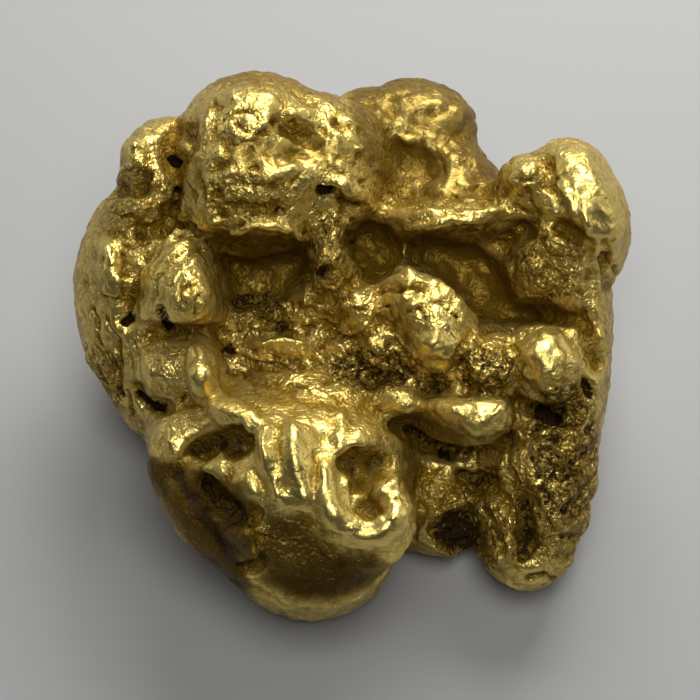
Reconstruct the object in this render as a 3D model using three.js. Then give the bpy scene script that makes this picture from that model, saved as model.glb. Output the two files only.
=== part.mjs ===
// A natural gold nugget: one solid lump of native metal, about 12 mm across, lying on a worn flat patch.
// Units are millimetres, +Z is up, and the origin is at the middle of the bounding box's foot.
//
// The lump is described in its show frame: x across, y up the show face, and z straight out of it.
// Rounded lumps are blended together and rounded hollows are scooped out of them. The whole is then
// leaned back by LAY_ANGLE, to lie as it rests, and cut off flat where it touches the table.

import * as THREE from "three";

// Driving dimensions.
const LAY_ANGLE = THREE.MathUtils.degToRad(28); // how far the show face leans back from straight up
const TABLE_DEPTH = 1.6; // the table's depth under the show frame's origin, square to the table
const CELL = 0.37; // the side of a cell of the grid that the surface is read on
const CORNER = new THREE.Vector3(-7.2, -8.2, -0.5); // the grid's lowest corner, as the nugget lies
const CELLS = [39, 42, 26]; // cells of the grid across, back and up
const PINCH_FILL = 0.02; // how far inside the metal a filled corner of the grid counts as being
const SETTLINGS = 2; // times that the surface is settled
const SETTLING = 0.5; // how far of the way to its neighbours' middle a corner goes each time
const ON_TABLE = 0.001; // corners below this height lie on the table

const GOLD = { color: 0xb8912f, metalness: 1, roughness: 0.3 };

// Each lump and hollow is an ellipsoid: its centre, its half-axes, its turn about z in degrees, and
// the width of the fillet where it meets what is already there.
const LUMPS = [
  { name: "bed", at: [0.1, 0.1, 0.6], half: [5.2, 4.7, 2.3], turn: 0, fillet: 0 },
  { name: "belly", at: [0.2, 1.2, 0], half: [3.8, 3.4, 2.4], turn: 0, fillet: 1 },
  { name: "left flank", at: [-4.35, 1.1, 1.2], half: [1.7, 2.6, 2], turn: 6, fillet: 1 },
  { name: "left shoulder", at: [-4.15, 3.8, 1.7], half: [0.9, 1.3, 1.5], turn: -12, fillet: 0.5 },
  { name: "left skirt", at: [-4.6, -0.3, 0.9], half: [0.95, 1.7, 1.6], turn: 20, fillet: 0.6 },
  { name: "dome", at: [-2.05, 4.1, 2.3], half: [1.75, 1.9, 2.7], turn: 0, fillet: 0.5 },
  { name: "dome's right side", at: [-0.7, 3.95, 2], half: [1.5, 1.6, 2.6], turn: -20, fillet: 0.6 },
  { name: "dome's foot", at: [-2.1, 3.2, 3], half: [1.5, 1.1, 1.75], turn: 0, fillet: 0.4 },
  { name: "dome's front right", at: [-0.5, 3.4, 2.4], half: [1.1, 0.8, 2], turn: 0, fillet: 0.4 },
  { name: "back lobe", at: [1.5, 4.9, 0.4], half: [1.35, 1.15, 1.6], turn: -12, fillet: 0.4 },
  { name: "back lobe's left", at: [0.4, 4.7, 0.3], half: [1.1, 1.15, 1.6], turn: 0, fillet: 0.4 },
  { name: "back slope", at: [2.25, 3.6, 0.9], half: [1.2, 1, 1.7], turn: -40, fillet: 0.5 },
  { name: "ledge", at: [2.2, 2.9, 2.2], half: [1.6, 0.5, 1.7], turn: 3, fillet: 0.5 },
  { name: "right wall", at: [4.95, 0.4, 1.5], half: [0.75, 3.4, 2.4], turn: -2, fillet: 0.6 },
  { name: "thumb", at: [4.95, 3, 2.9], half: [0.95, 1.6, 1.5], turn: 18, fillet: 0.4 },
  { name: "thumb's bead", at: [3.75, 3.55, 2.9], half: [0.6, 0.65, 0.9], turn: 0, fillet: 0.3 },
  { name: "inner block", at: [4.2, 1.7, 2], half: [0.85, 0.8, 1.5], turn: 0, fillet: 0.4 },
  { name: "lower lobe", at: [-1.2, -2.3, 3], half: [2.6, 1.4, 2.5], turn: -8, fillet: 0.6 },
  { name: "lower lobe's left", at: [-2.8, -2.6, 2.4], half: [1.3, 2, 2.4], turn: 35, fillet: 0.5 },
  { name: "lower lobe's tip", at: [-0.35, -3.2, 3.1], half: [1.6, 1.4, 2.5], turn: 0, fillet: 0.5 },
  { name: "lower lobe's apron", at: [-0.85, -3.8, 4.1], half: [1.85, 1.75, 1.2], turn: 0, fillet: 0.5 },
  { name: "lower lobe's left apron", at: [-2.65, -3, 3.6], half: [1.3, 2.1, 1.2], turn: 35, fillet: 0.5 },
  { name: "lower lobe's foot", at: [-0.85, -4.3, 1.8], half: [1.75, 1.6, 2.2], turn: 0, fillet: 0.5 },
  { name: "lower lobe's heel", at: [-2.3, -3.9, 1.5], half: [1, 1.6, 1.8], turn: 32, fillet: 0.5 },
  { name: "right foot", at: [4.15, -2.6, 1.6], half: [1.25, 2.4, 2.1], turn: -6, fillet: 0.6 },
  { name: "toe", at: [3.9, -4.25, 2.1], half: [1.05, 0.95, 1.1], turn: 0, fillet: 0.4 },
  { name: "recess floor", at: [2.1, -3.3, 1.1], half: [1, 1.25, 1.6], turn: 0, fillet: 0.5 },
];

// Scooped out of the lumps.
const HOLLOWS = [
  { name: "bowl", at: [-0.8, 0.2, 5], half: [2.3, 1, 1.9], turn: 0, fillet: 0.3 },
  { name: "back dip", at: [1.45, 4.1, 2.4], half: [0.7, 0.45, 0.6], turn: -25, fillet: 0.3 },
];

// Standing in the hollows and against the lumps.
const KNOBS = [
  { name: "upper left knob", at: [-3.6, 1.35, 2.8], half: [0.95, 1.3, 1.4], turn: 12, fillet: 0.45 },
  { name: "upper left knob's front", at: [-3.35, 1, 3.1], half: [0.65, 0.65, 1.2], turn: 0, fillet: 0.45 },
  { name: "lower left knob", at: [-3.85, -0.4, 2.5], half: [0.85, 0.8, 1.2], turn: 0, fillet: 0.45 },
  { name: "neck", at: [-3.1, -0.5, 3], half: [0.5, 0.9, 1.4], turn: 12, fillet: 0.45 },
  { name: "bridge to the dome", at: [-3.3, 2.5, 2.8], half: [0.4, 0.6, 0.9], turn: 20, fillet: 0.4 },
  { name: "corner bead", at: [-3.8, -1.9, 3.3], half: [0.5, 0.5, 0.9], turn: 0, fillet: 0.45 },
  { name: "middle bridge", at: [-0.45, 2.3, 2.6], half: [0.5, 1, 1.4], turn: 0, fillet: 0.4 },
  { name: "bridge's foot", at: [-0.6, 1.2, 2.3], half: [0.7, 0.5, 1.1], turn: 0, fillet: 0.45 },
  { name: "bowl's front slope", at: [-1.1, -1.3, 2.7], half: [2, 0.9, 1.7], turn: 0, fillet: 0.4 },
  { name: "centre knob", at: [1.7, 0.7, 2.7], half: [0.9, 1.4, 1.55], turn: 42, fillet: 0.45 },
  { name: "centre knob's top", at: [1.75, 0, 3.1], half: [0.75, 0.8, 1.1], turn: 0, fillet: 0.45 },
  { name: "bowl's right rim", at: [0.85, 0.2, 2.6], half: [0.8, 0.7, 1.2], turn: 0, fillet: 0.45 },
  { name: "shelf", at: [0.35, 0.85, 2.5], half: [0.8, 0.65, 1.3], turn: 0, fillet: 0.45 },
  { name: "saddle", at: [2.85, -0.35, 3.1], half: [1, 0.75, 1.2], turn: 0, fillet: 0.45 },
  { name: "bulb", at: [4.15, -0.3, 3.3], half: [0.8, 0.95, 1.2], turn: 15, fillet: 0.45 },
  { name: "lower mound", at: [2.5, -1.45, 3.3], half: [1.1, 0.6, 1.3], turn: 0, fillet: 0.45 },
  { name: "rim's right end", at: [1.1, -1.1, 3], half: [0.7, 0.5, 1.1], turn: 0, fillet: 0.45 },
];

// Scooped out of everything.
const RECESSES = [
  { name: "left recess", at: [-1.85, 1.75, 3.5], half: [1, 0.75, 1.5], turn: 0, fillet: 0.45 },
  { name: "right hollow", at: [2.45, 1.6, 3.2], half: [1.6, 0.6, 1.3], turn: -32, fillet: 0.45 },
  { name: "middle hollow", at: [0.5, 2.15, 3.4], half: [0.6, 0.6, 1.6], turn: 0, fillet: 0.45 },
  { name: "pocket", at: [1.6, -1.9, 3.4], half: [0.85, 0.45, 1.3], turn: -18, fillet: 0.45 },
  { name: "front recess", at: [2.3, -3.9, 2.7], half: [0.7, 0.55, 1.1], turn: 0, fillet: 0.45 },
  { name: "crevice", at: [-3.75, 3.9, 3.1], half: [0.35, 1.2, 1], turn: -12, fillet: 0.45 },
  { name: "under the bulb", at: [4.25, -1.45, 3.6], half: [0.45, 0.35, 0.8], turn: 0, fillet: 0.45 },
  { name: "lobe's upper dimple", at: [-2.85, -2, 5.2], half: [0.65, 0.4, 0.7], turn: 0, fillet: 0.45 },
  { name: "lobe's lower dimple", at: [-2.9, -3.2, 5.1], half: [0.4, 0.65, 0.7], turn: 35, fillet: 0.45 },
  { name: "lobe's right dimple", at: [0.3, -2.55, 5.9], half: [0.55, 0.45, 0.8], turn: 0, fillet: 0.45 },
  { name: "brow", at: [-1, 4.75, 5.3], half: [0.6, 0.3, 0.6], turn: -12, fillet: 0.45 },
];

// The signed distance, near enough, from a point to an ellipsoid.
function distanceTo(shape, point) {
  const angle = -THREE.MathUtils.degToRad(shape.turn);
  const local = point
    .clone()
    .sub(new THREE.Vector3(...shape.at))
    .applyAxisAngle(new THREE.Vector3(0, 0, 1), angle);
  const half = new THREE.Vector3(...shape.half);
  const inRadii = local.clone().divide(half);
  const reach = inRadii.length();
  const slope = inRadii.divide(half).length();
  return slope > 0 ? (reach * (reach - 1)) / slope : -Math.min(...shape.half);
}

// The lesser of two distances, rounded over where they are nearly equal.
function blend(a, b, width) {
  const overlap = width > 0 ? Math.max(width - Math.abs(a - b), 0) / width : 0;
  return Math.min(a, b) - (overlap ** 3 * width) / 6;
}

// The distance from a point once lumps are joined on to what is already there.
function joinedOn(distance, lumps, point) {
  return lumps.reduce((d, lump) => blend(d, distanceTo(lump, point), lump.fillet), distance);
}

// The distance from a point once hollows are scooped out of what is already there.
function scoopedOut(distance, hollows, point) {
  return hollows.reduce((d, hollow) => -blend(-d, distanceTo(hollow, point), hollow.fillet), distance);
}

// The signed distance from a point of the show frame to the nugget as it formed, before it was worn.
function nuggetDistance(point) {
  const body = scoopedOut(joinedOn(Infinity, LUMPS, point), HOLLOWS, point);
  return scoopedOut(joinedOn(body, KNOBS, point), RECESSES, point);
}

// The same distance for the worn nugget, from a point of the frame it lies in, where the table is z = 0.
function laidDistance(point) {
  const shown = point.clone();
  shown.z -= TABLE_DEPTH;
  shown.applyAxisAngle(new THREE.Vector3(1, 0, 0), -LAY_ANGLE);
  return Math.max(nuggetDistance(shown), -point.z);
}

// A grid of laid distances, one at each corner of each cell.
class DistanceGrid {
  constructor() {
    this.row = CELLS[0] + 1;
    this.layer = this.row * (CELLS[1] + 1);
    this.values = new Float64Array(this.layer * (CELLS[2] + 1));
    for (let n = 0; n < this.values.length; n++) this.values[n] = laidDistance(this.place(n));
  }

  index(i, j, k) {
    return k * this.layer + j * this.row + i;
  }

  place(index) {
    const i = index % this.row;
    const j = Math.floor((index % this.layer) / this.row);
    const k = Math.floor(index / this.layer);
    return new THREE.Vector3(i, j, k).multiplyScalar(CELL).add(CORNER);
  }

  isMetal(index) {
    return this.values[index] <= 0;
  }

  // The eight corners of the cell whose lowest corner is given; bits 1, 2 and 4 step along x, y and z.
  cellCorners(index) {
    return CUBE_CORNERS.map((m) => index + this.index(m & 1, (m >> 1) & 1, m >> 2));
  }

  // Calls visit with the lowest corner of every cell.
  forEachCell(visit) {
    for (let k = 0; k < CELLS[2]; k++)
      for (let j = 0; j < CELLS[1]; j++)
        for (let i = 0; i < CELLS[0]; i++) visit(this.index(i, j, k));
  }

  // Fills every cell where two sheets of the surface would touch, until each has at most one sheet.
  closePinches() {
    let filled = 0;
    this.forEachCell((index) => {
      const corners = this.cellCorners(index);
      const metal = corners.map((corner) => this.isMetal(corner));
      if (inOneGroup(metal, true) && inOneGroup(metal, false)) return;
      const air = corners.filter((corner) => !this.isMetal(corner));
      const nearest = air.reduce((a, b) => (this.values[a] < this.values[b] ? a : b));
      this.values[nearest] = -PINCH_FILL;
      filled++;
    });
    if (filled > 0) this.closePinches();
  }
}

const CUBE_CORNERS = [0, 1, 2, 3, 4, 5, 6, 7];
const CUBE_EDGES = CUBE_CORNERS.flatMap((m) =>
  [1, 2, 4].filter((bit) => !(m & bit)).map((bit) => [m, m | bit]),
);

// Whether the cube's corners of one kind hang together along its edges.
function inOneGroup(metal, kind) {
  const kin = CUBE_CORNERS.filter((m) => metal[m] === kind);
  const reached = new Set(kin.slice(0, 1));
  for (const m of reached)
    for (const [a, b] of CUBE_EDGES) {
      if (a === m && metal[b] === kind) reached.add(b);
      if (b === m && metal[a] === kind) reached.add(a);
    }
  return reached.size === kin.length;
}

// The mean of the points where the surface crosses a cell's edges, or null where it misses the cell.
function surfacePoint(grid, index) {
  const corners = grid.cellCorners(index);
  const sum = new THREE.Vector3();
  let crossings = 0;
  for (const [a, b] of CUBE_EDGES) {
    const [from, to] = [corners[a], corners[b]];
    if (grid.isMetal(from) === grid.isMetal(to)) continue;
    const share = grid.values[from] / (grid.values[from] - grid.values[to]);
    sum.add(grid.place(from).lerp(grid.place(to), share));
    crossings++;
  }
  return crossings ? sum.divideScalar(crossings) : null;
}

// The surface's corners, each moved part of the way to the middle of its neighbours, and kept on the table.
function settled(points, facets) {
  const sums = points.map(() => new THREE.Vector3());
  const counts = points.map(() => 0);
  facets.forEach((from, n) => {
    const to = n % 3 < 2 ? facets[n + 1] : facets[n - 2];
    sums[from].add(points[to]);
    counts[from]++;
  });
  return points.map((point, n) => {
    const moved = point.clone().lerp(sums[n].divideScalar(counts[n]), SETTLING);
    return point.z < ON_TABLE ? moved.setZ(0) : moved;
  });
}

// One corner for each cell that the surface crosses, and two facets round each grid edge it crosses.
function nuggetGeometry() {
  const grid = new DistanceGrid();
  grid.closePinches();
  let points = [];
  const cornerOf = new Map();
  grid.forEachCell((index) => {
    const point = surfacePoint(grid, index);
    if (!point) return;
    cornerOf.set(index, points.length);
    points.push(point);
  });

  const steps = [grid.index(1, 0, 0), grid.index(0, 1, 0), grid.index(0, 0, 1)];
  const facets = [];
  grid.forEachCell((index) => {
    steps.forEach((step, axis) => {
      if (grid.isMetal(index) === grid.isMetal(index + step)) return;
      const [aside, apart] = [steps[(axis + 1) % 3], steps[(axis + 2) % 3]];
      const cells = [index, index - aside, index - aside - apart, index - apart];
      const [a, b, c, d] = cells.map((cell) => cornerOf.get(cell));
      facets.push(...(grid.isMetal(index) ? [a, b, c, a, c, d] : [a, c, b, a, d, c]));
    });
  });

  for (let n = 0; n < SETTLINGS; n++) points = settled(points, facets);
  const positions = points.flatMap((point) => [...point]);
  const geometry = new THREE.BufferGeometry();
  geometry.setAttribute("position", new THREE.Float32BufferAttribute(positions, 3));
  geometry.setIndex(facets);
  geometry.computeBoundingBox();
  const middle = geometry.boundingBox.getCenter(new THREE.Vector3());
  geometry.translate(-middle.x, -middle.y, 0);
  geometry.computeVertexNormals();
  return geometry;
}

function makeNugget() {
  const nugget = new THREE.Mesh(nuggetGeometry(), new THREE.MeshStandardMaterial(GOLD));
  nugget.name = "nugget";
  return nugget;
}

const part = new THREE.Group();
part.add(makeNugget());

export default part;
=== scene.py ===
"""A natural gold nugget, 12 mm across, lying on a pale table.

The nugget is one lump of native metal. It is modelled in its show frame, in millimetres: u across, v up
the show face, and w straight out of it. When it is done it is leaned back to lie as it rests, and set
down in metres on its worn patch. Soft tools shape it as a carver would: lumps are put on, hollows are
scooped out, and then ridges, grooves, beads and pits are pulled and pressed one by one.
"""

import logging
import math
from dataclasses import dataclass, field
from enum import Enum

import bpy
import numpy as np
from mathutils import Matrix, Vector, noise


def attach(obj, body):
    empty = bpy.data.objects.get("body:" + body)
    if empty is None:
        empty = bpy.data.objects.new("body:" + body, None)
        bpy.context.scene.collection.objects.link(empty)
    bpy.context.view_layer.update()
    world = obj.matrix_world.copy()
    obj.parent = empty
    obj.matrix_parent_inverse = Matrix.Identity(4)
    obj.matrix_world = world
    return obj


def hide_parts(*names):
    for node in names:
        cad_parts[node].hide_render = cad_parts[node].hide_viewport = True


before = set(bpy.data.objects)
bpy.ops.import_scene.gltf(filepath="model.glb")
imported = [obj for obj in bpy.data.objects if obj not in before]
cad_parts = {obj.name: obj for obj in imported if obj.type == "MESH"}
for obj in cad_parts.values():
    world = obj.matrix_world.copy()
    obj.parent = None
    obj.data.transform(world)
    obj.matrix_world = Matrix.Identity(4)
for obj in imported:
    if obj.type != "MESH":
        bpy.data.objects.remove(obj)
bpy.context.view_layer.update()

log = logging.getLogger("nugget")

MM = 0.001
EPSILON = 1e-9
CREST = 1.6  # how sharply a ridge rises to its crest
PIT_SIDE = 2.2  # how much steeper a pit's side is than a groove's
PATCH_END = 1.15  # where a patch's cover ends, as a share of its half-axes
PATCH_FADE = 0.35  # how much of its half-axes the cover takes to fade
NOISE_MIDDLE = 0.5  # the middle of a noise texture's range

Point = tuple[float, float]
Place = tuple[float, float, float]


@dataclass(frozen=True)
class Lie:
    """How the nugget lies: where its show frame is over the table, in millimetres.

    Its eye is the point that the show face is judged from, straight out along w.
    """

    lean: float = math.radians(28)
    depth: float = 1.6
    home: Point = (0.052, 0.756)
    eye_distance: float = 56.25
    eye_plane: float = 3.5

    def matrix(self) -> Matrix:
        """The turn and move from the show frame to the table, still in millimetres."""
        return Matrix.Translation((*self.home, self.depth)) @ Matrix.Rotation(self.lean, 4, "X")

    def table_normal(self) -> Vector:
        """The table's upward normal in the show frame."""
        return Vector((0, math.sin(self.lean), math.cos(self.lean)))

    def seen(self, corners: np.ndarray) -> np.ndarray:
        """Where corners are seen from the eye.

        Args:
            corners: places in the show frame, one a row.

        Returns:
            u and v of each, on the eye's plane.
        """
        ahead = self.eye_distance - (corners[:, 2] - self.eye_plane)
        return corners[:, :2] * (self.eye_distance / ahead)[:, None]


class Profile(Enum):
    """The shape across a stroke, from its middle to its edge."""

    ROUND = "round"
    SHARP = "sharp"
    FLAT = "flat"

    def height(self, share: np.ndarray) -> np.ndarray:
        """The height left at a share of the way from the middle to the edge.

        Args:
            share: 0 at the stroke's middle, 1 at its edge and beyond.

        Returns:
            1 in the middle, falling to 0 at the edge.
        """
        left = np.clip(1 - share, 0, 1)
        if self is Profile.SHARP:
            return left**CREST
        if self is Profile.FLAT:
            left = np.clip(left * PIT_SIDE, 0, 1)
        return left * left * (3 - 2 * left)


@dataclass(frozen=True)
class Lump:
    """A rounded mass: an ellipsoid's middle, half-axes, and turn about w in degrees."""

    name: str
    at: Place
    half: Place
    turn: float = 0.0

    def add(self, segments: int = 5) -> bpy.types.Object:
        """Adds the mass as an icosphere stretched to its half-axes.

        Args:
            segments: how often the icosphere is subdivided.

        Returns:
            The new object.
        """
        bpy.ops.object.select_all(action="DESELECT")
        bpy.ops.mesh.primitive_ico_sphere_add(
            subdivisions=segments,
            radius=1,
            location=self.at,
            rotation=(0, 0, math.radians(self.turn)),
            scale=self.half,
        )
        return bpy.context.active_object


@dataclass(frozen=True)
class Stroke:
    """One pull (rise above 0) or press (below 0) of a tool along a path on the show face."""

    path: tuple[Point, ...]
    reach: float
    rise: float
    profile: Profile = Profile.ROUND

    def distance(self, seen: np.ndarray) -> np.ndarray:
        """How far each seen corner is from the path.

        Args:
            seen: u and v of each corner, as seen from the eye.

        Returns:
            The distance of each to the nearest point of the path.
        """
        if len(self.path) == 1:
            return np.hypot(*(seen - np.array(self.path[0])).T)
        least = np.full(len(seen), np.inf)
        for start, end in zip(self.path[:-1], self.path[1:]):
            start, step = np.array(start), np.subtract(end, start)
            share = np.clip((seen - start) @ step / max(step @ step, EPSILON), 0, 1)
            least = np.minimum(least, np.hypot(*(seen - start - share[:, None] * step).T))
        return least

    def lift(self, seen: np.ndarray) -> np.ndarray:
        """How far each seen corner is lifted.

        Args:
            seen: u and v of each corner, as seen from the eye.

        Returns:
            The lift of each, in millimetres.
        """
        low, high = np.min(self.path, axis=0) - self.reach, np.max(self.path, axis=0) + self.reach
        near = np.all((seen > low) & (seen < high), axis=1)
        lift = np.zeros(len(seen))
        lift[near] = self.rise * self.profile.height(self.distance(seen[near]) / self.reach)
        return lift


@dataclass(frozen=True)
class Pad:
    """A cushion raised (rise above 0) or a recess sunk (below 0) inside an outline on the show face.

    Its side is steep at the outline and rounds off to a level top or floor over its edge. Its shade value
    is mostly painted shade in recesses and on dim faces, with some staining: it deepens the metal's
    colour and fills it with a nearly black colour where it is strong, and below 0 it takes painted
    shade away. Its painted shade darkens the metal and leaves it shiny, for shade and dark reflections.
    Both are full where the pad is level and fade at its edge.
    """

    name: str
    rise: float
    edge: float
    outline: tuple[Point, ...]
    # Mostly painted shade in recesses and on dim faces, with some staining; below 0 it takes painted shade
    # away.
    shade_and_stain: float = 0.0
    # Painted shade: darkens the metal and keeps it shiny, standing in for shade and dark reflections.
    painted_shade: float = 0.0

    def inside(self, seen: np.ndarray) -> np.ndarray:
        """Which seen corners are inside the outline.

        Args:
            seen: u and v of each corner, as seen from the eye.

        Returns:
            True for each one inside.
        """
        inside = np.zeros(len(seen), dtype=bool)
        for start, end in zip(self.outline, self.outline[1:] + self.outline[:1]):
            beside = (start[1] > seen[:, 1]) != (end[1] > seen[:, 1])
            slant = (end[0] - start[0]) / ((end[1] - start[1]) or EPSILON)
            inside ^= beside & (seen[:, 0] < start[0] + (seen[:, 1] - start[1]) * slant)
        return inside

    def lift(self, seen: np.ndarray) -> np.ndarray:
        """How far each seen corner is lifted.

        Args:
            seen: u and v of each corner, as seen from the eye.

        Returns:
            The lift of each, in millimetres.
        """
        lift = np.zeros(len(seen))
        within = np.flatnonzero(self.inside(seen))
        outline = Stroke(self.outline + self.outline[:1], self.edge, self.rise)
        share = np.clip(outline.distance(seen[within]) / self.edge, 0, 1)
        lift[within] = self.rise * np.sqrt(1 - (1 - share) ** 2)
        return lift


def ridge(reach: float, rise: float, *path: Point) -> Stroke:
    """A raised line with a sharp crest."""
    return Stroke(path, reach, rise, Profile.SHARP)


def swell(reach: float, rise: float, *path: Point) -> Stroke:
    """A raised line or spot with a rounded top."""
    return Stroke(path, reach, rise, Profile.ROUND)


def groove(reach: float, fall: float, *path: Point) -> Stroke:
    """A pressed line or spot with a rounded floor."""
    return Stroke(path, reach, -fall, Profile.ROUND)


def pit(reach: float, fall: float, *path: Point) -> Stroke:
    """A deep hole with steep sides and a flat floor."""
    return Stroke(path, reach, -fall, Profile.FLAT)


@dataclass
class Clay:
    """The nugget's metal while it is shaped: one closed mesh in its show frame, in millimetres."""

    lie: Lie
    body: bpy.types.Object | None = None
    stroke_waver: float = 0.35
    pad_waver: float = 0.5

    def join(self, lumps: tuple[Lump, ...], voxel: float) -> bpy.types.Object:
        """Makes one closed skin round lumps that overlap.

        Args:
            lumps: the masses to make one.
            voxel: the side of the skin's facets.

        Returns:
            The joined object.
        """
        pieces = [lump.add() for lump in lumps]
        for piece in pieces:
            piece.select_set(True)
        bpy.context.view_layer.objects.active = pieces[0]
        bpy.ops.object.join()
        joined = bpy.context.active_object
        bpy.ops.object.transform_apply(location=True, rotation=True, scale=True)
        self.reskin(joined, voxel)
        return joined

    @staticmethod
    def finish_modifier(piece: bpy.types.Object, modifier: bpy.types.Modifier) -> None:
        """Applies a modifier to its piece."""
        bpy.ops.object.select_all(action="DESELECT")
        piece.select_set(True)
        bpy.context.view_layer.objects.active = piece
        bpy.ops.object.modifier_apply(modifier=modifier.name)

    def reskin(self, piece: bpy.types.Object, voxel: float) -> None:
        """Gives a piece an even skin of facets.

        Args:
            piece: the piece to cover.
            voxel: the side of its new facets.
        """
        remesh = piece.modifiers.new("skin", "REMESH")
        remesh.mode = "VOXEL"
        remesh.voxel_size = voxel
        remesh.use_smooth_shade = True
        self.finish_modifier(piece, remesh)

    def soften(self, passes: int, factor: float = 0.5) -> None:
        """Rounds every edge and crease of the body.

        Args:
            passes: how many times it is rubbed over.
            factor: how strongly, each time.
        """
        smooth = self.body.modifiers.new("rub", "SMOOTH")
        smooth.factor = factor
        smooth.iterations = passes
        self.finish_modifier(self.body, smooth)

    def put_on(self, lumps: tuple[Lump, ...], voxel: float, passes: int) -> None:
        """Adds masses to the body and blends them in.

        Args:
            lumps: the masses to add.
            voxel: the side of the new skin's facets.
            passes: how many times the joints are rubbed over.
        """
        added = self.join(lumps, voxel)
        if self.body is None:
            self.body = added
        else:
            self.combine(added, "UNION")
            self.reskin(self.body, voxel)
        self.soften(passes)

    def scoop(self, hollows: tuple[Lump, ...], voxel: float, passes: int) -> None:
        """Takes hollows out of the body and rounds their edges.

        Args:
            hollows: the spaces to clear.
            voxel: the side of the new skin's facets.
            passes: how many times the edges are rubbed over.
        """
        self.combine(self.join(hollows, voxel), "DIFFERENCE")
        self.reskin(self.body, voxel)
        self.soften(passes)

    def combine(self, tool: bpy.types.Object, operation: str) -> None:
        """Joins a closed tool to the body, or cuts it away, and clears the tool.

        Args:
            tool: the closed shape to use.
            operation: UNION or DIFFERENCE.
        """
        boolean = self.body.modifiers.new(operation, "BOOLEAN")
        boolean.operation = operation
        boolean.solver = "MANIFOLD"
        boolean.object = tool
        self.finish_modifier(self.body, boolean)
        bpy.data.objects.remove(tool)

    def corners(self) -> np.ndarray:
        """The body's corners in the show frame, one a row."""
        places = np.empty(len(self.body.data.vertices) * 3)
        self.body.data.vertices.foreach_get("co", places)
        return places.reshape(-1, 3)

    def normals(self) -> np.ndarray:
        """The body's outward normals at its corners, one a row."""
        normals = np.empty(len(self.body.data.vertices) * 3)
        self.body.data.vertex_normals.foreach_get("vector", normals)
        return normals.reshape(-1, 3)

    def move(self, corners: np.ndarray) -> None:
        """Puts the body's corners at new places."""
        self.body.data.vertices.foreach_set("co", corners.ravel())
        self.body.data.update()

    def work(self, strokes: tuple[Stroke, ...], wander: float, tallest: float) -> None:
        """Pulls and presses strokes into the show face.

        Args:
            strokes: the strokes, which add up where they cross.
            wander: how far their edges stray from a clean line.
            tallest: the height that raised strokes level off towards, however many of them add up.
        """
        corners, normals = self.corners(), self.normals()
        seen = self.lie.seen(corners) + wander * wavering(corners, self.stroke_waver)[:, :2]
        lift = sum(stroke.lift(seen) for stroke in strokes)
        lift = np.where(lift > 0, tallest * np.tanh(lift / tallest), lift)
        outward = facing(normals, below=0.15, span=0.5)
        self.move(corners + normals * (lift * outward)[:, None])

    def build_up(self, pads: tuple[Pad, ...], wander: float) -> None:
        """Raises cushions and sinks recesses, straight out of the show face.

        Args:
            pads: the cushions and recesses, which add up where they overlap.
            wander: how far their edges stray from a clean line.
        """
        corners, normals = self.corners(), self.normals()
        seen = self.lie.seen(corners) + wander * wavering(corners, self.pad_waver)[:, :2]
        lift = sum(pad.lift(seen) for pad in pads)
        corners[:, 2] += lift * facing(normals, below=0.1, span=0.4)
        self.move(corners)

    def swell(self, amount: float) -> None:
        """Thickens the whole body, to make up what rubbing it takes off.

        Args:
            amount: how far its surface moves outwards.
        """
        displace = self.body.modifiers.new("swell", "DISPLACE")
        displace.strength = amount
        displace.mid_level = 0
        self.finish_modifier(self.body, displace)

    def wear_flat(self) -> None:
        """Wears the belly off flat where it lies on the table."""
        normal = np.array(self.lie.table_normal())
        corners = self.corners()
        height = corners @ normal + self.lie.depth
        self.move(corners - normal * np.minimum(height, 0)[:, None])


def facing(normals: np.ndarray, below: float, span: float) -> np.ndarray:
    """How much each corner faces out of the show face.

    Args:
        normals: the corners' outward normals, one a row.
        below: how far past square to the face a corner still counts.
        span: how much further round it counts in full.

    Returns:
        1 facing out, falling to 0 facing away.
    """
    return np.clip((normals[:, 2] + below) / span, 0, 1)


def wavering(corners: np.ndarray, scale: float) -> np.ndarray:
    """A smooth random shift at each corner.

    Args:
        corners: places in the show frame, one a row.
        scale: the size of one waver, in millimetres.

    Returns:
        A shift of up to about 1 along each axis, one a row.
    """
    return np.array([noise.noise_vector(Vector(corner) / scale) for corner in corners])


@dataclass(frozen=True)
class Patch:
    """A part of the show face, as ellipses: each one's middle, half-axes and turn in degrees."""

    ellipses: tuple[tuple[Point, Point, float], ...]

    def cover(self, seen: np.ndarray) -> np.ndarray:
        """How much of each seen corner the patch covers.

        Args:
            seen: u and v of each corner, as seen from the eye.

        Returns:
            1 well inside, falling to 0 outside.
        """
        cover = np.zeros(len(seen))
        for middle, half, turn in self.ellipses:
            angle = math.radians(turn)
            along = np.array((math.cos(angle), math.sin(angle)))
            across = np.array((-along[1], along[0]))
            away = seen - np.array(middle)
            radius = np.hypot(away @ along / half[0], away @ across / half[1])
            cover = np.maximum(cover, np.clip((PATCH_END - radius) / PATCH_FADE, 0, 1))
        return cover


EVERYWHERE = Patch((((0.0, 0.0), (99.0, 99.0), 0.0),))


class Relief(Enum):
    """A kind of small relief, as the texture that makes it."""

    SWELLS = "CLOUDS"
    CRINKLES = "MUSGRAVE"
    SAND = "VORONOI"


@dataclass(frozen=True)
class Texture:
    """A small relief over part of the body: its kind, its size and height in millimetres."""

    name: str
    kind: Relief
    size: float
    height: float
    patch: Patch = EVERYWHERE

    def make(self) -> bpy.types.Texture:
        """The texture that a displacement reads.

        Returns:
            A new texture of this kind and size.
        """
        made = bpy.data.textures.new(self.name, self.kind.value)
        made.noise_scale = self.size
        if self.kind is Relief.SWELLS:
            made.noise_depth = 2
            made.noise_basis = "ORIGINAL_PERLIN"
        elif self.kind is Relief.CRINKLES:
            made.musgrave_type = "RIDGED_MULTIFRACTAL"
            made.octaves = 2.5
            made.dimension_max = 0.9
        else:
            made.distance_metric = "DISTANCE"
            made.weight_1 = 1.0
        return made


VERTEX_LEVELS = 16


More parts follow.
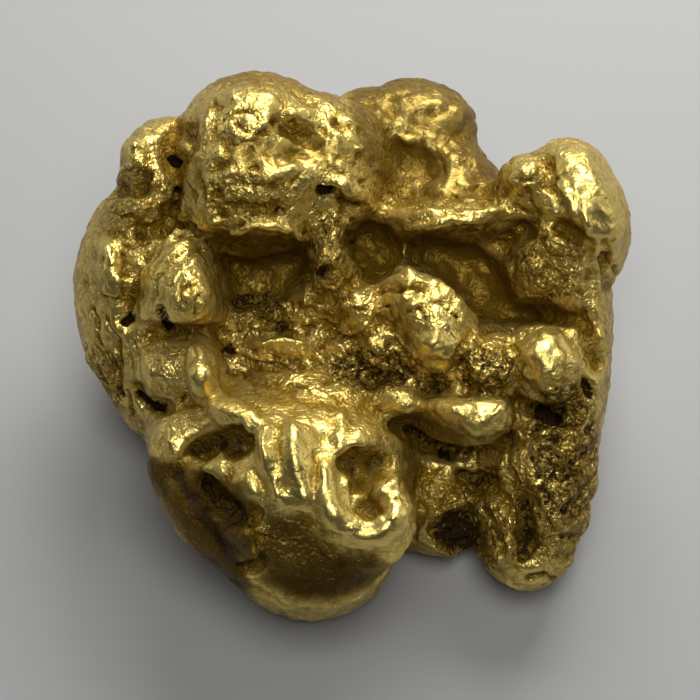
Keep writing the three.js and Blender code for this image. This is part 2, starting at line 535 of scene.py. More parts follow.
@dataclass(frozen=True)
class Region:
    """A part of the nugget: what it is built from and what is worked into it.

    Masses are put on first and hollows are then scooped out of them. Knobs stand in the hollows. Pads
    and forms are worked in while the skin is coarse, and details once it is fine.
    """

    name: str
    masses: tuple[Lump, ...] = ()
    hollows: tuple[Lump, ...] = ()
    knobs: tuple[Lump, ...] = ()
    pads: tuple[Pad, ...] = ()
    forms: tuple[Stroke, ...] = ()
    details: tuple[Stroke, ...] = ()


def core() -> Region:
    """The bed that every other part grows from, with its worn belly."""
    return Region(
        "core",
        masses=(
            Lump("bed", (0.1, 0.1, 0.6), (5.2, 4.7, 2.3)),
            Lump("belly", (0.2, 1.2, 0.0), (3.8, 3.4, 2.4)),
        ),
    )


def dome() -> Region:
    """The tall rounded mass at the back left, whose front face is crinkled, and the recess under its lip."""
    return Region(
        "dome",
        masses=(
            Lump("dome", (-2.05, 4.1, 2.3), (1.75, 1.9, 2.7)),
            Lump("dome's right side", (-0.7, 3.95, 2.0), (1.5, 1.6, 2.6), -20),
            Lump("dome's foot", (-2.1, 3.2, 3.0), (1.5, 1.1, 1.75)),
            Lump("dome's front right", (-0.5, 3.4, 2.4), (1.1, 0.8, 2.0)),
        ),
        # Painted shade: the left recess, crevice, brow and notch are darkened, and the dome's top face and
        # back dulled and darkened.
        pads=(
            Pad(
                "left recess", -1.05, 0.25,
                (
                    (-3.0, 2.48), (-2.3, 2.5), (-1.5, 2.48), (-1.0, 2.3), (-0.82, 1.9), (-0.95, 1.55),
                    (-1.3, 1.25), (-1.7, 0.95), (-2.5, 0.85), (-2.65, 1.3), (-2.75, 1.9),
                ),
                shade_and_stain=0.5,
            ),
            Pad(
                "crevice", -0.7, 0.3,
                (
                    (-3.75, 5.0), (-3.2, 4.9), (-3.15, 4.3), (-3.35, 3.8), (-3.55, 3.0), (-3.7, 2.6),
                    (-3.9, 3.0), (-3.85, 3.6), (-4.1, 4.1), (-4.05, 4.4),
                ),
                shade_and_stain=0.6,
            ),
            Pad(
                "crevice bead", 0.5, 0.35,
                ((-3.7, 4.6), (-3.35, 4.5), (-3.35, 4.1), (-3.65, 4.05), (-3.8, 4.3)),
            ),
            Pad(
                "front panel", 0.22, 0.3,
                (
                    (-3.1, 4.4), (-2.4, 4.15), (-1.4, 4.05), (-0.8, 4.1), (-0.7, 3.6), (-0.95, 2.9),
                    (-0.9, 2.5), (-1.6, 2.5), (-2.4, 2.52), (-3.2, 2.5), (-3.5, 3.0), (-3.35, 3.7),
                ),
            ),
            Pad(
                "top cushion", 0.15, 0.35,
                ((-2.85, 5.1), (-2.0, 5.15), (-1.6, 4.9), (-1.9, 4.5), (-2.5, 4.4), (-2.9, 4.6)),
            ),
            # Painted shade: the dome's upper face is darkened where it catches less light.
            Pad(
                "top's face", -0.03, 0.4,
                ((-2.9, 4.6), (-1.7, 4.7), (-0.6, 4.7), (0.5, 4.5), (0.7, 3.7), (-0.9, 3.9), (-2.9, 3.8)),
                shade_and_stain=0.4,
                painted_shade=0.4,
            ),
            Pad(
                "top's back", -0.05, 0.3,
                ((-3.6, 5.4), (-3.2, 6.2), (-0.8, 6.2), (0.2, 5.0), (-0.6, 5.3), (-1.5, 5.5), (-2.9, 5.6)),
                shade_and_stain=0.35,
                painted_shade=0.25,
            ),
            Pad(
                "right crest", 0.3, 0.3,
                ((-0.45, 3.65), (0.0, 3.75), (0.5, 3.4), (0.65, 2.95), (0.3, 2.85), (0.0, 3.05), (-0.3, 3.2)),
            ),
            Pad(
                "brow", -0.25, 0.4,
                ((-1.7, 4.95), (-1.1, 4.8), (-0.5, 4.85), (-0.2, 4.7), (-0.7, 4.45), (-1.3, 4.5)),
                shade_and_stain=0.3,
            ),
            Pad("notch", -0.15, 0.15, ((-0.65, 4.95), (-0.35, 5.05), (0.12, 4.78), (-0.1, 4.7)), shade_and_stain=0.6),
        ),
        forms=(
            ridge(0.14, 0.2, (-2.95, 5.1), (-3.0, 4.6), (-3.15, 4.3), (-3.4, 3.6), (-3.6, 2.8)),
            swell(0.45, 0.2, (-2.4, 5.3), (-1.8, 5.35)),
            swell(0.35, 0.22, (-1.2, 5.05), (-0.95, 5.0)),
            groove(0.25, 0.25, (-1.6, 4.95), (-1.2, 4.7), (-0.75, 4.5)),
            swell(0.22, 0.14, (-1.85, 4.85)),
            groove(0.25, 0.2, (-0.45, 3.35), (-0.1, 3.05), (0.2, 3.05)),
            swell(0.25, 0.14, (-1.8, 3.65), (-1.5, 3.75), (-1.2, 3.92)),
            groove(0.3, 0.14, (-2.4, 3.05), (-1.5, 3.0)),
            groove(0.22, 0.12, (-2.9, 4.0), (-2.0, 3.95)),
            swell(0.3, 0.14, (-2.6, 3.5)),
            ridge(0.2, 0.2, (-2.4, 2.6), (-2.1, 2.72), (-1.5, 2.72), (-1.15, 2.55)),
            swell(0.2, 0.16, (-2.95, 3.6), (-3.0, 3.1), (-2.85, 2.75)),
            swell(0.4, -0.12, (-1.2, 4.2), (-0.3, 4.3)),
        ),
        details=(
            swell(0.13, 0.1, (-2.78, 5.36)),
            swell(0.12, 0.1, (-2.5, 5.4)),
            swell(0.12, 0.1, (-2.2, 5.38)),
            ridge(0.1, 0.1, (-2.1, 5.25), (-1.85, 5.15), (-1.7, 4.98)),
            groove(0.08, 0.1, (-2.75, 4.95), (-2.5, 5.12), (-2.2, 5.14), (-2.0, 5.0)),
            groove(0.08, 0.08, (-2.5, 4.85), (-2.2, 4.7)),
            groove(0.07, 0.08, (-1.95, 4.6), (-1.7, 4.65), (-1.62, 4.9)),
            ridge(0.12, 0.12, (-0.85, 5.38), (-0.4, 5.22), (-0.1, 5.02), (0.12, 4.78)),
            groove(0.13, 0.12, (-0.35, 4.85), (-0.1, 4.72)),
            groove(0.1, 0.1, (-0.72, 4.65)),
            swell(0.11, 0.1, (0.2, 4.32)),
            groove(0.09, 0.1, (0.25, 4.12)),
            ridge(0.11, 0.24, (-2.45, 2.55), (-2.1, 2.68), (-1.6, 2.7), (-1.2, 2.55), (-1.0, 2.35)),
            pit(0.12, 0.3, (-0.6, 3.42), (-0.48, 3.4)),
            pit(0.06, 0.2, (-1.5, 3.0)),
            swell(0.12, 0.1, (-2.76, 4.2)),
            swell(0.1, 0.08, (-2.5, 4.33), (-2.32, 4.3)),
            ridge(0.07, 0.05, (-0.5, 4.02), (0.0, 3.82), (0.5, 3.62), (0.9, 3.42)),
            ridge(0.07, 0.05, (-0.3, 4.2), (0.3, 4.0), (0.8, 3.75)),
            ridge(0.07, 0.05, (-1.7, 4.2), (-1.0, 4.05), (-0.6, 4.1)),
            groove(0.08, 0.12, (-0.35, 3.3), (-0.1, 3.1), (0.12, 3.1)),
            swell(0.16, 0.14, (-3.53, 4.35)),
            swell(0.1, 0.1, (-3.35, 4.65)),
            pit(0.1, 0.3, (-3.72, 4.0), (-3.78, 4.1)),
            pit(0.13, 0.3, (-3.7, 3.4)),
            ridge(0.07, 0.07, (-3.9, 3.2), (-3.85, 3.5), (-3.6, 3.55)),
            ridge(0.09, 0.1, (-2.9, 2.75), (-2.6, 2.85), (-2.4, 2.75)),
            groove(0.08, 0.12, (-2.6, 2.62), (-2.3, 2.7)),
            groove(0.07, 0.08, (-2.1, 2.95), (-1.4, 2.95)),
        ),
    )


def left_flank() -> Region:
    """The sloping left side, its shoulder, and the two flat-topped knobs with raised rims."""
    return Region(
        "left flank",
        masses=(
            Lump("left flank", (-4.35, 1.1, 1.2), (1.7, 2.6, 2.0), 6),
            Lump("left shoulder", (-4.15, 3.8, 1.7), (0.9, 1.3, 1.5), -12),
            Lump("left skirt", (-4.6, -0.3, 0.9), (0.95, 1.7, 1.6), 20),
        ),
        knobs=(
            Lump("upper left knob", (-3.6, 1.35, 2.8), (0.9, 1.3, 1.35), 12),
            Lump("upper left knob's front", (-3.35, 1.0, 3.1), (0.65, 0.65, 1.2)),
            Lump("lower left knob", (-3.85, -0.4, 2.5), (0.85, 0.8, 1.2)),
            Lump("neck", (-3.1, -0.5, 3.0), (0.45, 0.9, 1.4), 12),
            Lump("bridge to the dome", (-3.3, 2.5, 2.8), (0.35, 0.6, 0.9), 20),
        ),
        pads=(
            Pad(
                "hood", 0.55, 0.3,
                (
                    (-4.6, 0.6), (-4.4, 1.4), (-4.15, 2.0), (-3.85, 2.42), (-3.4, 2.5), (-3.0, 2.15),
                    (-2.78, 1.6), (-2.72, 1.0), (-2.85, 0.45), (-3.4, 0.4), (-4.0, 0.45),
                ),
            ),
            Pad(
                "upper knob", 0.2, 0.4,
                (
                    (-3.95, 0.6), (-3.95, 1.5), (-3.6, 1.75), (-3.2, 1.92), (-2.95, 1.85), (-2.78, 1.4),
                    (-2.75, 0.9), (-2.95, 0.5), (-3.5, 0.5),
                ),
            ),
            Pad(
                "neck", 0.2, 0.3,
                (
                    (-3.4, 0.2), (-2.95, 0.2), (-2.8, -0.6), (-2.4, -1.2), (-2.0, -1.5), (-2.6, -1.75),
                    (-3.2, -1.3), (-3.45, -0.7),
                ),
            ),
            Pad(
                "lower knob", 0.35, 0.5,
                (
                    (-4.7, -0.6), (-4.6, -0.1), (-4.1, 0.25), (-3.3, 0.32), (-3.0, 0.0), (-3.05, -0.8),
                    (-3.5, -1.15), (-4.0, -1.15), (-4.45, -0.95),
                ),
            ),
            Pad(
                "side cushion", 0.25, 0.3,
                (
                    (-5.35, 2.3), (-5.0, 2.45), (-4.85, 2.1), (-4.9, 1.4), (-5.05, 1.1), (-5.3, 1.3),
                    (-5.45, 1.8),
                ),
            ),
            Pad(
                "shoulder", 0.3, 0.35,
                (
                    (-4.9, 4.6), (-4.4, 4.85), (-4.15, 4.5), (-4.2, 3.9), (-4.5, 3.65), (-4.9, 3.8),
                    (-5.0, 4.2),
                ),
            ),
            Pad(
                "under the shoulder", 0.25, 0.3,
                (
                    (-5.1, 3.4), (-4.4, 3.35), (-3.95, 3.2), (-4.0, 2.7), (-4.6, 2.6), (-5.2, 2.65),
                    (-5.3, 3.0),
                ),
            ),
            Pad(
                "cheek", 0.2, 0.3,
                (
                    (-4.8, 2.4), (-4.3, 2.45), (-4.2, 2.1), (-4.45, 1.5), (-4.65, 1.0), (-4.85, 1.3),
                    (-4.8, 1.9),
                ),
            ),
        ),
        forms=(
            groove(0.3, 0.3, (-4.25, 4.35), (-4.4, 3.9), (-4.5, 3.6)),
            swell(0.35, 0.15, (-4.7, 4.3)),
            swell(0.3, 0.15, (-4.45, 3.95)),
            groove(0.3, 0.2, (-5.0, 3.4), (-4.4, 3.35)),
            swell(0.35, 0.15, (-4.75, 2.95), (-4.4, 3.05)),
            groove(0.3, 0.18, (-4.5, 2.4), (-4.75, 1.4), (-4.8, 0.6)),
            swell(0.35, 0.16, (-5.15, 2.1), (-5.05, 1.3)),
            groove(0.22, 0.2, (-4.55, -0.8), (-4.3, -1.15), (-4.0, -1.25), (-3.5, -1.1)),
            groove(0.2, 0.2, (-3.9, 0.4), (-3.4, 0.42), (-2.95, 0.45)),
            swell(0.4, 0.12, (-3.3, 1.3)),
        ),
        details=(
            groove(
                0.1, 0.12, (-4.75, 0.8), (-4.6, 1.4), (-4.35, 2.0), (-4.05, 2.45), (-3.7, 2.68),
                (-3.3, 2.65),
            ),
            ridge(0.09, 0.12, (-4.6, 0.75), (-4.45, 1.3), (-4.25, 1.8), (-4.0, 2.2), (-3.7, 2.5)),
            ridge(0.09, 0.12, (-3.7, 2.5), (-3.4, 2.5), (-3.15, 2.3), (-2.97, 2.0)),
            groove(0.08, 0.1, (-4.25, 1.0), (-4.15, 1.5), (-3.95, 1.9), (-3.6, 2.15)),
            swell(0.16, 0.1, (-3.5, 1.15)),
            swell(0.13, 0.1, (-3.15, 0.95)),
            groove(0.06, 0.08, (-3.3, 0.75), (-3.35, 1.05), (-3.2, 1.2)),
            groove(0.06, 0.08, (-3.7, 0.9), (-3.6, 1.35), (-3.3, 1.45)),
            ridge(0.08, 0.1, (-3.95, 1.55), (-3.6, 1.7), (-3.3, 1.87), (-3.05, 1.95), (-2.88, 1.8)),
            ridge(0.08, 0.08, (-2.88, 1.8), (-2.8, 1.5), (-2.75, 1.0)),
            groove(0.12, 0.1, (-3.9, 1.8), (-3.5, 2.0), (-3.2, 2.15)),
            swell(0.13, 0.08, (-3.35, 1.2)),
            swell(0.1, 0.07, (-2.98, 1.25)),
            groove(0.07, 0.07, (-3.6, 1.0), (-3.4, 1.3), (-3.2, 1.35)),
            pit(0.12, 0.4, (-4.08, 0.82), (-3.9, 0.52)),
            pit(0.11, 0.3, (-4.83, 0.58), (-4.66, 0.72)),
            swell(0.09, 0.07, (-4.85, 0.42)),
            ridge(0.08, 0.08, (-4.0, 0.15), (-3.6, 0.33), (-3.2, 0.3), (-3.0, 0.05), (-2.9, -0.3)),
            pit(0.07, 0.12, (-4.12, -0.2)),
            pit(0.1, 0.3, (-4.45, -0.95), (-4.3, -1.15), (-4.05, -1.25)),
            pit(0.07, 0.12, (-3.65, -1.1), (-3.55, -1.0)),
            groove(0.06, 0.12, (-5.66, 0.1), (-5.66, -0.4)),
            groove(0.06, 0.12, (-5.4, -0.35), (-5.2, -0.8), (-5.0, -1.1)),
            groove(0.07, 0.14, (-5.15, -0.1), (-5.0, -0.5), (-4.95, -0.95)),
            groove(0.05, 0.1, (-4.75, -0.9), (-4.7, -1.4)),
            groove(0.05, 0.1, (-5.5, 0.9), (-5.4, 0.3), (-5.25, -0.1)),
            groove(0.05, 0.1, (-5.2, 0.7), (-5.0, 0.1), (-4.9, -0.4)),
            groove(0.05, 0.1, (-5.3, 1.16), (-4.95, 1.12)),
            groove(0.05, 0.08, (-4.65, 0.3), (-4.5, -0.1), (-4.45, -0.6)),
            ridge(0.06, 0.06, (-4.5, 0.2), (-4.3, -0.3), (-4.25, -0.8)),
            swell(0.12, 0.12, (-5.2, 2.15), (-5.1, 1.9)),
            swell(0.1, 0.1, (-5.02, 1.5), (-5.0, 1.2)),
            swell(0.15, 0.1, (-4.55, 1.85)),
            groove(0.06, 0.1, (-4.85, 2.1), (-4.8, 1.6)),
            groove(0.06, 0.1, (-5.35, 2.0), (-5.3, 1.4)),
            swell(0.12, 0.1, (-4.62, 4.38)),
            swell(0.1, 0.1, (-4.43, 3.9)),
            ridge(0.09, 0.08, (-4.85, 3.45), (-4.7, 3.2)),
            ridge(0.09, 0.08, (-4.95, 2.8), (-4.7, 2.95), (-4.45, 3.1)),
            swell(0.1, 0.08, (-4.85, 2.58)),
            swell(0.1, 0.07, (-4.3, 2.85)),
            groove(0.07, 0.1, (-4.95, 2.3), (-4.7, 2.2), (-4.3, 2.3)),
        ),
    )


def bowl() -> Region:
    """The hollow in the middle, with its terraced floor, the bridge beside it and the dark hole behind."""
    return Region(
        "bowl",
        hollows=(
            Lump("bowl", (-0.8, 0.2, 5.0), (2.3, 1.0, 1.9)),
        ),
        knobs=(
            Lump("middle bridge", (-0.45, 2.3, 2.6), (0.5, 1.0, 1.4)),
            Lump("bridge's foot", (-0.6, 1.2, 2.3), (0.7, 0.5, 1.1)),
            Lump("bowl's front slope", (-1.1, -1.3, 2.7), (2.0, 0.9, 1.7)),
        ),
        # Painted shade: the middle hollow and the bowl step are darkened; the bridge and the bowl's floor
        # have painted shade taken away.
        pads=(
            Pad(
                "middle hollow", -0.9, 0.3,
                (
                    (-0.2, 2.4), (0.4, 2.75), (0.95, 2.65), (1.15, 2.3), (1.05, 1.95), (0.85, 1.65),
                    (0.55, 1.4), (0.25, 1.5), (0.1, 1.9),
                ),
                shade_and_stain=0.8,
            ),
            Pad(
                "bridge", 0.3, 0.3,
                (
                    (-0.95, 2.9), (-0.4, 2.95), (0.1, 2.85), (0.1, 2.5), (-0.15, 2.3), (0.05, 2.1),
                    (0.25, 1.6), (-0.2, 1.3), (-0.75, 1.2), (-0.9, 1.6), (-0.85, 2.3),
                ),
                shade_and_stain=-0.25,
            ),
            Pad(
                "bowl's floor", -0.05, 0.4,
                (
                    (-2.8, 0.8), (-1.4, 0.9), (-0.6, 0.3), (0.5, 0.0), (1.2, -0.3), (0.6, -0.9),
                    (-0.6, -1.1), (-2.0, -0.9), (-2.8, -0.4),
                ),
                shade_and_stain=-0.25,
            ),
            Pad(
                "bowl step", -0.25, 0.2,
                (
                    (-2.7, -0.4), (-1.9, -0.5), (-1.2, -0.7), (-0.3, -0.45), (-0.3, -0.7), (-1.2, -0.95),
                    (-2.1, -0.85),
                ),
                shade_and_stain=0.5,
            ),
            Pad(
                "left terrace", 0.2, 0.25,
                ((-2.8, 0.25), (-2.0, 0.35), (-1.0, 0.3), (-0.7, 0.05), (-1.3, -0.1), (-2.4, -0.15)),
            ),
            Pad(
                "back terrace", 0.15, 0.2,
                ((-1.5, 1.0), (-1.1, 1.25), (-0.7, 1.1), (-0.6, 0.6), (-1.1, 0.45), (-1.5, 0.6)),
            ),
            Pad(
                "right terrace", 0.2, 0.25,
                ((-0.6, 0.2), (0.2, 0.3), (0.9, 0.1), (0.9, -0.4), (0.2, -0.6), (-0.5, -0.3)),
            ),
        ),
        forms=(
            swell(0.3, 0.15, (-0.5, 2.0), (-0.3, 1.3)),
            groove(0.6, 0.3, (0.35, 2.3), (0.7, 2.0)),
            swell(0.3, 0.12, (0.1, 1.0), (-0.6, 0.8)),
            swell(0.35, 0.12, (-1.9, 0.15), (-1.0, -0.1)),
        ),
        details=(
            ridge(0.08, 0.12, (-1.45, 0.95), (-1.3, 1.1), (-1.1, 1.15), (-0.88, 1.05)),
            groove(0.1, 0.08, (-1.1, 0.97)),
            swell(0.11, 0.08, (-0.92, 0.62)),
            groove(0.05, 0.06, (-1.05, 0.5), (-0.8, 0.48)),
            ridge(0.07, 0.12, (-0.62, -0.05), (-0.38, 0.15), (-0.15, 0.05), (-0.05, -0.2)),
            groove(0.1, 0.1, (-0.35, -0.05)),
            ridge(0.08, 0.16, (0.48, 0.2), (0.75, 0.38), (1.0, 0.32), (1.25, 0.1), (1.38, -0.12)),
            groove(0.17, 0.14, (0.8, 0.15)),
            ridge(0.09, 0.2, (-2.15, 0.12), (-1.8, 0.14), (-1.4, 0.2), (-1.0, 0.12)),
            ridge(0.07, 0.16, (-2.8, 0.02), (-2.3, -0.02), (-1.7, -0.15), (-1.1, -0.42)),
            ridge(0.07, 0.16, (-2.6, 0.35), (-2.2, 0.42), (-1.8, 0.35), (-1.2, 0.45)),
            ridge(0.07, 0.16, (-2.5, -0.35), (-2.1, -0.45), (-1.6, -0.78)),
            ridge(0.07, 0.14, (-1.9, -0.25), (-1.4, -0.5), (-1.0, -0.6)),
            ridge(0.07, 0.14, (-2.5, 0.62), (-1.9, 0.7), (-1.5, 0.6)),
            ridge(0.07, 0.14, (-0.9, 0.1), (-0.6, -0.25), (-0.2, -0.45), (0.3, -0.35)),
            ridge(0.07, 0.14, (0.3, -0.1), (0.6, -0.3), (1.0, -0.35), (1.3, -0.5)),
            ridge(0.07, 0.14, (-0.4, 0.5), (0.1, 0.4), (0.4, 0.6), (0.5, 0.9)),
            groove(0.07, 0.14, (-2.65, -0.5), (-2.3, -0.58), (-2.05, -0.78)),
            groove(0.06, 0.1, (-1.3, -0.75), (-0.9, -0.85), (-0.4, -0.6), (0.0, -0.5)),
            pit(0.1, 0.2, (-2.65, 0.0), (-2.55, -0.05)),
            ridge(0.06, 0.06, (-1.1, -1.0), (-0.4, -1.1), (0.3, -0.9)),
            ridge(0.06, 0.06, (-1.2, -0.85), (-0.5, -1.0), (0.2, -0.75)),
            ridge(0.07, 0.12, (-0.85, 2.3), (-0.9, 1.8), (-0.95, 1.3), (-0.9, 1.0)),
            pit(0.11, 0.25, (-0.65, 1.68), (-0.52, 1.74)),
            ridge(0.07, 0.1, (-0.1, 2.15), (0.05, 1.9), (0.2, 1.62)),
            swell(0.12, 0.1, (-0.4, 2.65)),
            swell(0.13, 0.12, (-0.05, 2.7)),
            ridge(0.1, 0.12, (-0.8, 3.0), (-0.88, 2.7), (-0.85, 2.4)),
            swell(0.1, 0.1, (-0.25, 2.05)),
            swell(0.1, 0.08, (-0.2, 1.75)),
            groove(0.06, 0.08, (-0.6, 2.9), (-0.6, 2.4)),
            ridge(0.07, 0.08, (0.05, 0.9), (0.3, 1.0), (0.55, 1.2)),
            groove(0.07, 0.1, (0.1, 0.82), (0.45, 0.85)),
            ridge(0.06, 0.06, (-0.6, 0.75), (-0.3, 0.6), (0.1, 0.4)),
        ),
    )


